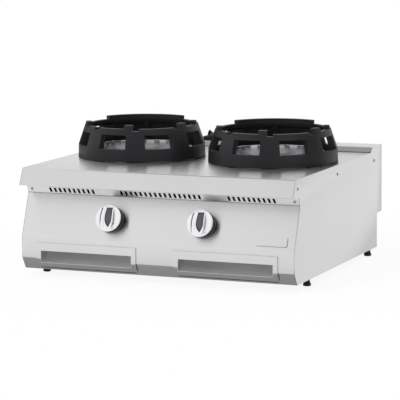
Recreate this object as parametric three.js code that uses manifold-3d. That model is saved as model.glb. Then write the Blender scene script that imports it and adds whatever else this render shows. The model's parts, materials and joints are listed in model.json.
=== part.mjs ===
// Countertop gas wok range with two burners, in millimetres.
// X runs to the right, Z is up from the surface the feet stand on, and inside the range group
// Y is measured rearward from the top front edge of the worktop. The group then moves the
// object so that its origin lies under the middle of its whole footprint, knobs included.
import * as THREE from 'three';
import { mergeVertices } from 'three/addons/utils/BufferGeometryUtils.js';
import Module from 'manifold-3d';

const wasm = await Module();
wasm.setup();

// ---------------------------------------------------------------- driving dimensions
const WIDTH = 800;                 // across the side panels
const WORKTOP_Z = 300;             // top of the worktop
const SHEET = 1.5;                 // body sheet thickness
const TOP_SHEET = 2;               // worktop sheet thickness
const GAP = 0.3;                   // clearance between pieces that touch

const NOSE_OUT = 21.5;             // the front nose leans out this far at its foot
const NOSE_FOOT_Z = 253.5;
const NOSE_RADIUS = 5;
const STRIP_TOP = [24, 249.3];     // vent strip, outer face [y, z]
const STRIP_FOOT = [32, 228.3];
const PANEL_TOP = [32, 228];       // control panel, outer face
const PANEL_FOOT = [-12, 110.5];
const APRON_FOOT = [-12, 53];      // upright stretch below the control panel
const KICK_FOOT = [8, 20];         // inward sloping foot of the fascia

const REAR_LOW_Y = 667;            // lower rear face
const REAR_Y = 709;                // rear face above the service recess
const REAR_STEP_Z = 119.5;
const LEDGE_FOOT_Y = 611;          // raised rear ledge
const LEDGE_FRONT_Y = 626;
const LEDGE_Z = 314.5;

const BURNER_X = 200;              // burner axes at plus and minus this
const BURNER_Y = 353;

const RING = {                     // cast wok ring, heights above the worktop
  baseRadius: 181, bandRadius: 179.5, rimRadius: 160.5, wall: 10, rimWall: 14,
  lug: 2, band: 37, windowTop: 75, rim: 92, nub: 102.5,
  turn: 18.5,                      // degrees the front pillar stands right of the front
  pillars: 8, pillarHalf: 9.2, pillarDepth: 20, wallHalf: 44.5,
  nubs: [-75.5, -7.5, 52, 87.5],   // degrees from the front pillar
  nubHalf: 5, notchHalf: 2.9, notchDepth: 6, lugHalf: 3,
};
const COLLAR = { radius: 140, wall: 1.5, height: 30, flange: 156, roll: 2.6 };
const BOWL = { rim: 137.5, mouth: 127, throat: 100, throatZ: 258, spout: 8 };

const KNOB_X = 134;                // knob axes at plus and minus this
const KNOB_Z = 166;                // height where a knob axis meets the panel
const KNOB = { radius: 37.5, skirt: 37.3, stand: 4, bodyDepth: 23, rimDepth: 2, edge: 1 };
const HUB = { radius: 34.8, sunk: 10 };                      // back of the cap, set into the body
const SCOOP = { half: 23.5, arc: 92, slope: 9, depth: 6.5, lip: 3.7 };   // hollow around the grip

const TRAY = {                     // pull-out drip trays
  inner: 56, outer: 353, top: 97, foot: 28, proud: 4,
  rear: 560, floorZ: 30, tongueZ: 42, wallZ: 62, panFront: 46, sideGap: 8,
};
const POCKET = { side: 13, top: 75, foot: 43, depth: 50, seat: 6 };

const FOOT = { x: 387, front: 116, rear: 621, pad: 11, sole: 9, stem: 5, thread: 16 };
const FRONT_LEFT_FOOT = [-370, 78];        // stands nearer its corner than the front right one

const SLOT = { pitch: 14.3, width: 5.5, height: 12.5, slant: 4.5 };
const SLOT_GROUPS = [[-264, 10], [0, 17], [264, 10]];      // [middle x, number of slots]

const STEEL = { color: 0xd4d6d8, roughness: 0.3, metalness: 1 };
const POLISHED = { color: 0xe2e4e6, roughness: 0.12, metalness: 1 };
const CAST_IRON = { color: 0x2c2c30, roughness: 0.75, metalness: 0.2 };
const BRASS = { color: 0xb08d4a, roughness: 0.35, metalness: 1 };
const PLAIN_STEEL = { color: 0x9a9da0, roughness: 0.5, metalness: 1 };
const BLACK = { color: 0x141416, roughness: 0.3, metalness: 0 };
const GREY = { color: 0x55565a, roughness: 0.45, metalness: 0 };

// ---------------------------------------------------------------- geometry helpers
const DEG = Math.PI / 180;
const { Vector2, Vector3 } = THREE;

// Leaves only positions, welds them, and turns the faces outward.
function tidy(geometry) {
  const bare = new THREE.BufferGeometry();
  bare.setAttribute('position', geometry.getAttribute('position').clone());
  if (geometry.index) bare.setIndex(geometry.index.clone());
  const welded = mergeVertices(bare, 1e-4);
  const p = welded.getAttribute('position');
  const kept = [];
  let volume = 0;
  const a = new Vector3();
  const b = new Vector3();
  const c = new Vector3();
  for (let i = 0; i < welded.index.count; i += 3) {
    const [i0, i1, i2] = [welded.index.getX(i), welded.index.getX(i + 1), welded.index.getX(i + 2)];
    if (i0 === i1 || i1 === i2 || i2 === i0) continue;
    kept.push(i0, i1, i2);
    b.fromBufferAttribute(p, i1).cross(c.fromBufferAttribute(p, i2));
    volume += a.fromBufferAttribute(p, i0).dot(b);
  }
  if (volume < 0) kept.reverse();
  welded.setIndex(kept);
  return welded;
}

function toSolid(geometry) {
  const clean = tidy(geometry);
  return new wasm.Manifold(new wasm.Mesh({
    numProp: 3,
    vertProperties: new Float32Array(clean.getAttribute('position').array),
    triVerts: new Uint32Array(clean.index.array),
  }));
}

function toGeometry(solid) {
  const { vertProperties, triVerts } = solid.getMesh();
  const geometry = new THREE.BufferGeometry();
  geometry.setAttribute('position', new THREE.BufferAttribute(new Float32Array(vertProperties), 3));
  geometry.setIndex(new THREE.BufferAttribute(new Uint32Array(triVerts), 1));
  return geometry;
}

function join(...pieces) {
  return toGeometry(pieces.map(toSolid).reduce((whole, piece) => whole.add(piece)));
}

function common(first, second) {
  return toGeometry(toSolid(first).intersect(toSolid(second)));
}

function cut(base, ...tools) {
  return toGeometry(tools.map(toSolid).reduce((whole, tool) => whole.subtract(tool), toSolid(base)));
}

function outline(points) {
  return new THREE.Shape(points.map(([x, y]) => new Vector2(x, y)));
}

// Replaces each inner corner of an open path with an arc of the given radius.
function softened(path, radius, steps = 3) {
  const out = [path[0]];
  for (let i = 1; i < path.length - 1; i++) {
    const corner = new Vector2(...path[i]);
    const back = new Vector2(...path[i - 1]).sub(corner);
    const ahead = new Vector2(...path[i + 1]).sub(corner);
    const reach = Math.min(radius, back.length() * 0.45, ahead.length() * 0.45);
    const start = back.setLength(reach).add(corner);
    const end = ahead.setLength(reach).add(corner);
    const bend = new THREE.QuadraticBezierCurve(start, corner, end);
    out.push(...bend.getPoints(steps).map((p) => [p.x, p.y]));
  }
  out.push(path[path.length - 1]);
  return out;
}

// The path moved sideways by a distance, to its left where that is positive.
function offset(path, distance) {
  return path.map((point, i) => {
    const here = new Vector2(...point);
    const before = i > 0 ? here.clone().sub(new Vector2(...path[i - 1])).normalize() : null;
    const after = i < path.length - 1 ? new Vector2(...path[i + 1]).sub(here).normalize() : null;
    const along = (before ?? after).clone().add(after ?? before).normalize();
    const across = new Vector2(-along.y, along.x);
    const first = before ?? after;
    const mitre = across.dot(new Vector2(-first.y, first.x));
    return [here.x + across.x * distance / mitre, here.y + across.y * distance / mitre];
  });
}

// A folded sheet's section: the open path is one face, and the sheet lies to its left,
// or to its right where the thickness is negative.
function folded(path, thickness) {
  return outline([...path, ...offset(path, thickness).reverse()]);
}

const ALONG_X = new THREE.Matrix4().makeBasis(
  new Vector3(0, 1, 0), new Vector3(0, 0, 1), new Vector3(1, 0, 0));
const ALONG_Y = new THREE.Matrix4().makeBasis(
  new Vector3(1, 0, 0), new Vector3(0, 0, 1), new Vector3(0, -1, 0));

const PRISM = { bevelEnabled: false, curveSegments: 6 };
const ROUND = 32;                  // sides of the largest turned pieces

// The shape's x and y become y and z.
function prismX(shape, x0, x1) {
  const prism = new THREE.ExtrudeGeometry(shape, { ...PRISM, depth: x1 - x0 });
  return prism.applyMatrix4(ALONG_X).translate(x0, 0, 0);
}

// The shape's x and y become x and z.
function prismY(shape, y0, y1) {
  const prism = new THREE.ExtrudeGeometry(shape, { ...PRISM, depth: y1 - y0 });
  return prism.applyMatrix4(ALONG_Y).translate(0, y1, 0);
}

function prismZ(shape, z0, z1) {
  return new THREE.ExtrudeGeometry(shape, { ...PRISM, depth: z1 - z0 }).translate(0, 0, z0);
}

function box(x0, x1, y0, y1, z0, z1) {
  return new THREE.BoxGeometry(x1 - x0, y1 - y0, z1 - z0)
    .translate((x0 + x1) / 2, (y0 + y1) / 2, (z0 + z1) / 2);
}

// Turned about Z; the profile is a list of [radius, z].
function turned(profile, segments = 32) {
  return new THREE.LatheGeometry(profile.map(([r, z]) => new Vector2(r, z)), segments).rotateX(Math.PI / 2);
}

function ring(profile, segments) {
  return turned([...profile, profile[0]], segments);
}

function rod(radius, z0, z1, segments = 16) {
  return turned([[0, z0], [radius, z0], [radius, z1], [0, z1]], segments);
}

// A solid round bar along a curve.
function pipe(curve, radius, sides, steps) {
  const section = outline(Array.from({ length: sides }, (_, i) => {
    const angle = 2 * Math.PI * i / sides;
    return [radius * Math.cos(angle), radius * Math.sin(angle)];
  }));
  return new THREE.ExtrudeGeometry(section, { steps, bevelEnabled: false, extrudePath: curve });
}

// A solid round bar through the points.
function tube(points, radius, sides, steps) {
  const curve = new THREE.CatmullRomCurve3(points.map((p) => new Vector3(...p)), false, 'centripetal');
  return pipe(curve, radius, sides, steps);
}

// A sector seen from above; angles in degrees from the front, positive to the right.
function sector(from, to, inner, outer, steps = 2) {
  const at = (radius, angle) => [radius * Math.sin(angle * DEG), -radius * Math.cos(angle * DEG)];
  const angles = Array.from({ length: steps + 1 }, (_, i) => from + (to - from) * i / steps);
  return outline([...angles.map((a) => at(outer, a)), ...angles.reverse().map((a) => at(inner, a))]);
}

function mesh(name, geometry, look) {
  const piece = new THREE.Mesh(tidy(geometry), new THREE.MeshStandardMaterial(look));
  piece.name = name;
  return piece;
}

function group(position, ...children) {
  const holder = new THREE.Group();
  holder.position.set(...position);
  holder.add(...children);
  return holder;
}

// ---------------------------------------------------------------- control panel geometry
const PANEL_LENGTH = Math.hypot(PANEL_TOP[0] - PANEL_FOOT[0], PANEL_TOP[1] - PANEL_FOOT[1]);
const PANEL_LEAN = Math.asin((PANEL_TOP[0] - PANEL_FOOT[0]) / PANEL_LENGTH);

// [y, z] of the point at a height on the panel's outer face, moved inward by a depth.
function behindPanel(z, depth) {
  const share = (PANEL_TOP[1] - z) / (PANEL_TOP[1] - PANEL_FOOT[1]);
  const y = PANEL_TOP[0] + share * (PANEL_FOOT[0] - PANEL_TOP[0]);
  return [y + depth * Math.cos(PANEL_LEAN), z - depth * Math.sin(PANEL_LEAN)];
}

// A group on the panel whose +Z points straight out of it and whose +Y runs up it.
function onPanel(x, z, ...children) {
  const [y] = behindPanel(z, 0);
  const holder = group([x, y, z], ...children);
  holder.rotation.x = Math.PI / 2 - PANEL_LEAN;
  return holder;
}

// A hole through the panel along its normal, as a tool in range coordinates.
function panelHole(x, z, radius) {
  const [y] = behindPanel(z, 0);
  return rod(radius, -20, 20).rotateX(Math.PI / 2 - PANEL_LEAN).translate(x, y, z);
}

const HALF = WIDTH / 2;
const INSIDE = HALF - SHEET - GAP;      // half width between the side panels

// ---------------------------------------------------------------- casing
const TOP = { rear: 640, rearFlange: 16, noseReturn: [22, 251.3] };

function worktop() {
  const path = softened([
    TOP.noseReturn, [-NOSE_OUT, NOSE_FOOT_Z], [0, WORKTOP_Z],
    [TOP.rear, WORKTOP_Z], [TOP.rear, WORKTOP_Z - TOP.rearFlange],
  ], NOSE_RADIUS);
  const sheet = prismX(folded(path, -TOP_SHEET), -INSIDE, INSIDE);
  const holes = [-1, 1].map((side) => (
    rod(BOWL.mouth + 1, WORKTOP_Z - 9, WORKTOP_Z + 9, ROUND).translate(side * BURNER_X, BURNER_Y, 0)));
  return mesh('worktop', cut(sheet, ...holes), STEEL);
}

const SIDE_SCREWS_Y = [12, 324, 640];
const SIDE_SCREW_Z = 275;
const SCREW = { head: 4, headHeight: 1.6, shank: 2, shankLength: 9 };
const SCREW_SIDES = 10;

function sidePanel(name, side) {
  const nose = softened([[-NOSE_OUT, NOSE_FOOT_Z], [0, WORKTOP_Z], [LEDGE_FOOT_Y, WORKTOP_Z]], NOSE_RADIUS);
  const face = outline([
    ...nose, [LEDGE_FRONT_Y, LEDGE_Z], [REAR_Y, LEDGE_Z], [REAR_Y, REAR_STEP_Z],
    [REAR_LOW_Y, REAR_STEP_Z], [REAR_LOW_Y, KICK_FOOT[1]], KICK_FOOT, APRON_FOOT, PANEL_FOOT,
    PANEL_TOP, STRIP_TOP,
  ]);
  const sheet = prismX(face, HALF - SHEET, HALF);
  const holes = SIDE_SCREWS_Y.map((y) => (
    rod(SCREW.shank + GAP, -5, 5, SCREW_SIDES).rotateY(Math.PI / 2).translate(HALF, y, SIDE_SCREW_Z)));
  const panel = mesh(name, cut(sheet, ...holes), STEEL);
  if (side < 0) panel.position.x = SHEET - WIDTH;
  return panel;
}

// How far back the kick slope lies at a height.
function kickY(z) {
  const share = (APRON_FOOT[1] - z) / (APRON_FOOT[1] - KICK_FOOT[1]);
  return APRON_FOOT[0] + share * (KICK_FOOT[0] - APRON_FOOT[0]);
}

const FASCIA = {
  topReturn: 20, footReturn: 24, trayOverlap: 5, openingFoot: 25, openingTop: 93, spindleHole: 7,
};

function frontFascia() {
  const path = [
    [PANEL_TOP[0] + FASCIA.topReturn, PANEL_TOP[1]], PANEL_TOP, PANEL_FOOT, APRON_FOOT, KICK_FOOT,
    [KICK_FOOT[0] + FASCIA.footReturn, KICK_FOOT[1]],
  ];
  const sheet = prismX(folded(path, SHEET), -INSIDE, INSIDE);
  const trayOpenings = [-1, 1].map((side) => {
    const ends = [TRAY.inner + FASCIA.trayOverlap, TRAY.outer - FASCIA.trayOverlap];
    const [x0, x1] = ends.map((x) => side * x).sort((a, b) => a - b);
    return box(x0, x1, -30, 30, FASCIA.openingFoot, FASCIA.openingTop);
  });
  const spindleHoles = [-1, 1].map((side) => panelHole(side * KNOB_X, KNOB_Z, FASCIA.spindleHole));
  return mesh('front_fascia', cut(sheet, ...trayOpenings, ...spindleHoles), STEEL);
}

const STRIP_SCREW_X = 386;
const STRIP_RETURN = 20;           // depth of the strip's two folded edges
const SLOT_DROP = 0.6;             // the slots sit this far below the strip's middle
const STRIP_LEAN = Math.atan2(STRIP_FOOT[0] - STRIP_TOP[0], STRIP_TOP[1] - STRIP_FOOT[1]);

// Turns a geometry drawn about Z to point out of the vent strip, at one end of it.
function onStrip(geometry, side) {
  return geometry.rotateX(Math.PI / 2 + STRIP_LEAN)
    .translate(side * STRIP_SCREW_X, (STRIP_TOP[0] + STRIP_FOOT[0]) / 2, (STRIP_TOP[1] + STRIP_FOOT[1]) / 2);
}

function ventStrip() {
  const path = [
    [STRIP_TOP[0] + STRIP_RETURN, STRIP_TOP[1]], STRIP_TOP,
    STRIP_FOOT, [STRIP_FOOT[0] + STRIP_RETURN, STRIP_FOOT[1]],
  ];
  const sheet = prismX(folded(path, SHEET), -INSIDE, INSIDE);
  const middle = (STRIP_TOP[1] + STRIP_FOOT[1]) / 2 - SLOT_DROP;
  const [low, high] = [middle - SLOT.height / 2, middle + SLOT.height / 2];
  const tools = SLOT_GROUPS.flatMap(([centre, count]) => Array.from({ length: count }, (_, i) => {
    const x = centre + (i - (count - 1) / 2) * SLOT.pitch;
    const slot = outline([
      [x - (SLOT.width + SLOT.slant) / 2, high], [x + (SLOT.width - SLOT.slant) / 2, high],
      [x + (SLOT.width + SLOT.slant) / 2, low], [x - (SLOT.width - SLOT.slant) / 2, low],
    ]);
    return prismY(slot, 16, 40);
  }));
  const holes = [-1, 1].map((side) => onStrip(rod(SCREW.shank + GAP, -5, 5, SCREW_SIDES), side));
  return mesh('vent_strip', cut(sheet, ...tools, ...holes), STEEL);
}

function footPlace(side, y) {
  return side < 0 && y === FOOT.front ? FRONT_LEFT_FOOT : [side * FOOT.x, y];
}

const BEHIND_KICK = 16;            // where the inner floor starts

function basePan() {
  const z0 = KICK_FOOT[1] + SHEET + GAP;
  const plate = box(-INSIDE, INSIDE, BEHIND_KICK, REAR_LOW_Y - SHEET - GAP, z0, z0 + SHEET);
  const holes = [-1, 1].flatMap((side) => [FOOT.front, FOOT.rear].map((y) => (
    rod(FOOT.stem + 2 * GAP, 0, 60, 12).translate(...footPlace(side, y), 0))));
  return mesh('base_pan', cut(plate, ...holes), PLAIN_STEEL);
}

const INLET = { x: 355, y: 688, radius: 13, foot: 88, nut: 12, hole: 15 };
const PIPE_END_Z = REAR_STEP_Z + 6;      // where the supply pipe meets the inlet

function rearPanel() {
  const path = [
    [REAR_Y, WORKTOP_Z - GAP], [REAR_Y, REAR_STEP_Z], [REAR_LOW_Y, REAR_STEP_Z], [REAR_LOW_Y, KICK_FOOT[1]],
  ];
  const sheet = prismX(folded(path, -SHEET), -INSIDE, INSIDE);
  const inletHole = rod(INLET.hole, REAR_STEP_Z - 10, REAR_STEP_Z + 10).translate(INLET.x, INLET.y, 0);
  return mesh('rear_panel', cut(sheet, inletHole), STEEL);
}

const FLUE = { halfWidth: 110, front: 648, rear: 694, foot: 205, rim: 4 };

function rearLedge() {
  const path = [
    [LEDGE_FOOT_Y + SHEET, WORKTOP_Z + GAP + SHEET], [LEDGE_FRONT_Y, LEDGE_Z],
    [REAR_Y, LEDGE_Z], [REAR_Y, WORKTOP_Z + GAP],
  ];
  const sheet = prismX(folded(path, -SHEET), -INSIDE, INSIDE);
  const half = FLUE.halfWidth - FLUE.rim;
  const [y0, y1] = [FLUE.front + FLUE.rim, FLUE.rear - FLUE.rim];
  const opening = box(-half, half, y0, y1, LEDGE_Z - 9, LEDGE_Z + 9);
  return mesh('rear_ledge', cut(sheet, opening), STEEL);
}

function flueDuct() {
  const top = LEDGE_Z - SHEET - GAP;
  const outer = box(-FLUE.halfWidth, FLUE.halfWidth, FLUE.front, FLUE.rear, FLUE.foot, top);
  const inner = box(-FLUE.halfWidth + SHEET, FLUE.halfWidth - SHEET, FLUE.front + SHEET, FLUE.rear - SHEET,
    FLUE.foot - 5, top + 5);
  return mesh('flue_duct', cut(outer, inner), PLAIN_STEEL);
}

const GRATE = {                    // cast flue grate, heights above the ledge
  halfWidth: 131, front: 640, rear: 702, base: 11, height: 19, crestHalf: 114, crestInset: 11,
  wall: 6, slots: 9, slotInset: 17, eyeTop: 26.5, eyeThickness: 5,
};

function flueGrate() {
  const foot = LEDGE_Z + GAP;
  const [shoulder, top] = [foot + GRATE.base, foot + GRATE.height];
  // The crest's section, moved inward all round by a wall.
  const section = (wall, low) => outline([
    [GRATE.front + wall, low], [GRATE.front + wall, shoulder - wall / 2],
    [GRATE.front + GRATE.crestInset + wall, top - wall], [GRATE.rear - GRATE.crestInset - wall, top - wall],
    [GRATE.rear - wall, shoulder - wall / 2], [GRATE.rear - wall, low],
  ]);
  const crest = prismX(section(0, foot), -GRATE.crestHalf, GRATE.crestHalf);
  const base = box(-GRATE.halfWidth, GRATE.halfWidth, GRATE.front, GRATE.rear, foot, shoulder);
  const inside = GRATE.crestHalf - GRATE.wall;
  const hollow = prismX(section(GRATE.wall, foot - 5), -inside, inside);
  const pitch = 2 * inside / GRATE.slots;
  const slots = Array.from({ length: GRATE.slots }, (_, i) => {
    const x = (i - (GRATE.slots - 1) / 2) * pitch;
    const [y0, y1] = [GRATE.front + GRATE.slotInset, GRATE.rear - GRATE.slotInset];
    return box(x - pitch * 0.3, x + pitch * 0.3, y0, y1, shoulder - 2, top + 5);
  });
  const grid = cut(join(base, crest), hollow, ...slots);
  return mesh('flue_grate', join(grid, grateEye(-1), grateEye(1)), CAST_IRON);
}

// The pierced lifting eye at one end of the grate, upright across its middle.
function grateEye(side) {
  const foot = LEDGE_Z + GAP;
  const [shoulder, top, peak] = [foot + GRATE.base, foot + GRATE.height, foot + GRATE.eyeTop];
  const [inner, outer] = [GRATE.crestHalf, GRATE.halfWidth];
  const middle = (GRATE.front + GRATE.rear) / 2;
  const drawn = (points) => outline(points.map(([x, z]) => [side * x, z]));
  const arch = drawn([
    [inner - 2, shoulder - 2], [outer - 1, shoulder - 2], [outer - 1, shoulder], [outer - 4, top + 3],
    [outer - 7, peak], [outer - 10, peak], [outer - 13, top + 3], [inner - 2, top],
  ]);
  const hole = drawn([
    [inner + 4, shoulder], [outer - 5, shoulder], [outer - 8, top + 1], [outer - 10, top + 1],
  ]);
  const half = GRATE.eyeThickness / 2;
  return cut(prismY(arch, middle - half, middle + half), prismY(hole, middle - 9, middle + 9));
}

const DECK = { z: 102, front: 66, flange: 16, dropHalfX: 52, dropHalfY: 110 };

// The deck that carries the burners, with a drop hole over each tray.
function heatDeck() {
  const low = DECK.z - DECK.flange;
  const path = [[-INSIDE, low], [-INSIDE, DECK.z], [INSIDE, DECK.z], [INSIDE, low]];
  const sheet = prismY(folded(path, -SHEET), DECK.front, REAR_LOW_Y - SHEET - GAP);
  const drops = [-BURNER_X, BURNER_X].map((x) => box(
    x - DECK.dropHalfX, x + DECK.dropHalfX,
    BURNER_Y - DECK.dropHalfY, BURNER_Y + DECK.dropHalfY, DECK.z - 9, DECK.z + 9));
  return mesh('heat_deck', cut(sheet, ...drops), PLAIN_STEEL);
}

const RAIL = { depth: 9, top: 214, foot: 134, topReturn: 16, footReturn: 8, hole: 8 };

function valveRail() {
  const path = [
    behindPanel(RAIL.top, RAIL.depth + RAIL.topReturn), behindPanel(RAIL.top, RAIL.depth),
    behindPanel(RAIL.foot, RAIL.depth), behindPanel(RAIL.foot, RAIL.depth + RAIL.footReturn),
  ];
  const sheet = prismX(folded(path, SHEET), -INSIDE, INSIDE);
  const holes = [-1, 1].map((side) => panelHole(side * KNOB_X, KNOB_Z, RAIL.hole));
  return mesh('valve_rail', cut(sheet, ...holes), PLAIN_STEEL);
}

// ---------------------------------------------------------------- burners, about a burner axis
function burnerCollar(name) {
  const [r, t] = [COLLAR.radius, COLLAR.wall];
  const top = WORKTOP_Z + COLLAR.height;
  const foot = WORKTOP_Z + GAP;
  const roll = COLLAR.roll;
  const bead = [-90, 0, 60, 90].map((angle) => (
    [r + GAP + roll * Math.cos(angle * DEG), top - roll + roll * Math.sin(angle * DEG)]));
  const profile = [
    [r - t, foot], [COLLAR.flange, foot], [COLLAR.flange, foot + t], [r, foot + t],
    ...bead, [r - t, top - roll],
  ];
  return mesh(name, ring(profile, ROUND), POLISHED);
}

function burnerBowl(name) {
  const t = SHEET;
  const z = WORKTOP_Z + GAP;
  const { rim, mouth, throat, throatZ, spout } = BOWL;
  return mesh(name, ring([
    [rim, z], [rim, z + t], [mouth, z + t], [throat, throatZ], [throat, throatZ - spout],
    [throat + t, throatZ - spout], [throat + t, throatZ - 0.4], [mouth + t / 2, z],
  ], ROUND), POLISHED);
}

const BODY = { radius: 70, foot: 205, top: 249, wall: 5, throatOuter: 21, throatInner: 15, mouthY: -185 };

function burnerBody(name) {
  const { radius, foot, top, wall, throatOuter, throatInner, mouthY } = BODY;
  const axisZ = foot + throatOuter;
  const along = (r, length) => rod(r, 0, length).rotateX(Math.PI / 2).translate(0, 0, axisZ);
  const shell = join(
    turned([[0, foot], [radius - 12, foot], [radius, foot + 12], [radius, top], [0, top]], 24),
    along(throatOuter, -mouthY),
  );
  const chamber = turned([
    [0, foot + wall], [radius - 14, foot + wall], [radius - wall, foot + 15],
    [radius - wall, top + 5], [0, top + 5],
  ], 24);
  return mesh(name, cut(shell, chamber, along(throatInner, -mouthY + 5)), CAST_IRON);
}

const HEAD = { radius: 70, inner: 26, top: 276, ports: 16, portHalf: 1.8 };

function burnerHead(name) {
  const foot = BODY.top + GAP;
  const crown = ring([
    [HEAD.inner, foot], [HEAD.radius, foot], [HEAD.radius, foot + 8], [HEAD.radius - 9, HEAD.top - 5],
    [HEAD.radius - 15, HEAD.top], [HEAD.inner, HEAD.top - 8],
  ], 2 * HEAD.ports);
  const ports = Array.from({ length: HEAD.ports }, (_, i) => (
    box(-HEAD.portHalf, HEAD.portHalf, HEAD.radius - 17, HEAD.radius + 9, HEAD.top - 11, HEAD.top + 3)
      .rotateZ(2 * Math.PI * i / HEAD.ports)));
  return mesh(name, cut(crown, ...ports), CAST_IRON);
}

function burnerCap(name) {
  const foot = HEAD.top - 3;
  return mesh(name, turned([
    [0, foot - 12], [HEAD.inner - 1, foot - 12], [HEAD.inner - 3, foot],
    [HEAD.inner + 6, foot + 2], [HEAD.inner + 7, foot + 6], [HEAD.inner - 4, foot + 12], [0, foot + 15],
  ], 20), BRASS);
}

const STAND = { leg: 60, toe: 84, halfDepth: 22 };

function burnerStand(name) {
  const top = BODY.foot - GAP;
  const foot = DECK.z + GAP;
  const { leg, toe, halfDepth } = STAND;
  const path = [
    [-toe, foot + SHEET], [-leg, foot + SHEET], [-leg, top],
    [leg, top], [leg, foot + SHEET], [toe, foot + SHEET],
  ];
  return mesh(name, prismY(folded(path, -SHEET), -halfDepth, halfDepth), PLAIN_STEEL);
}

const PILOT = { radius: 86, angle: -28, top: 280, foot: 240 };
const LEAD_STEPS = 12;             // steps along a thin bent tube

function pilotPoint(angle, z) {
  return [PILOT.radius * Math.sin(angle * DEG), -PILOT.radius * Math.cos(angle * DEG), z];
}

function pilotBurner(name) {
  const [x, y] = pilotPoint(PILOT.angle, 0);
  const nozzle = turned([
    [0, PILOT.foot], [5, PILOT.foot], [5, PILOT.top - 10], [7, PILOT.top - 6], [7, PILOT.top], [0, PILOT.top],
  ], 10).translate(x, y, 0);
  const feed = tube([
    [x, y, PILOT.foot + 4], [x, y, 200], [x, y - 40, 176], [x - 4, y - 150, 174], [x - 2, y - 205, 172],
  ], 2, 5, LEAD_STEPS);
  return mesh(name, join(nozzle, feed), BRASS);
}

function thermocouple(name) {
  const [x, y] = pilotPoint(PILOT.angle - 10, 0);
  const tip = turned([
    [0, PILOT.foot - 6], [4, PILOT.foot - 6], [4, PILOT.foot + 12], [2, PILOT.foot + 16], [2, PILOT.top],
    [0, PILOT.top + 1.5],
  ], 10).translate(x, y, 0);
  const lead = tube([
    [x, y, PILOT.foot - 2], [x, y, 196], [x - 4, y - 40, 166], [x - 8, y - 150, 162], [x - 6, y - 200, 160],
  ], 1.6, 5, LEAD_STEPS);
  return mesh(name, join(tip, lead), BRASS);
}

const INJECTOR_Y = BODY.mouthY - 22;
const GAS_AXIS_Z = BODY.foot + BODY.throatOuter;

function injector(name) {
  const hex = turned([[0, 0], [9, 0], [9, 14], [5, 16], [3, 20], [0, 20]], 6);
  return mesh(name, hex.rotateX(-Math.PI / 2).translate(0, INJECTOR_Y, GAS_AXIS_Z), BRASS);
}

function burnerSet(side, sideName) {
  return group([side * BURNER_X, BURNER_Y, 0],
    burnerCollar(`${sideName}_burner_collar`),
    burnerBowl(`${sideName}_burner_bowl`),
    burnerBody(`${sideName}_burner_body`),
    burnerHead(`${sideName}_burner_head`),
    burnerCap(`${sideName}_burner_cap`),
    burnerStand(`${sideName}_burner_stand`),
    pilotBurner(`${sideName}_pilot_burner`),
    thermocouple(`${sideName}_thermocouple`),
    injector(`${sideName}_injector`),
    wokRing(`${sideName}_wok_ring`));
}

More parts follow.
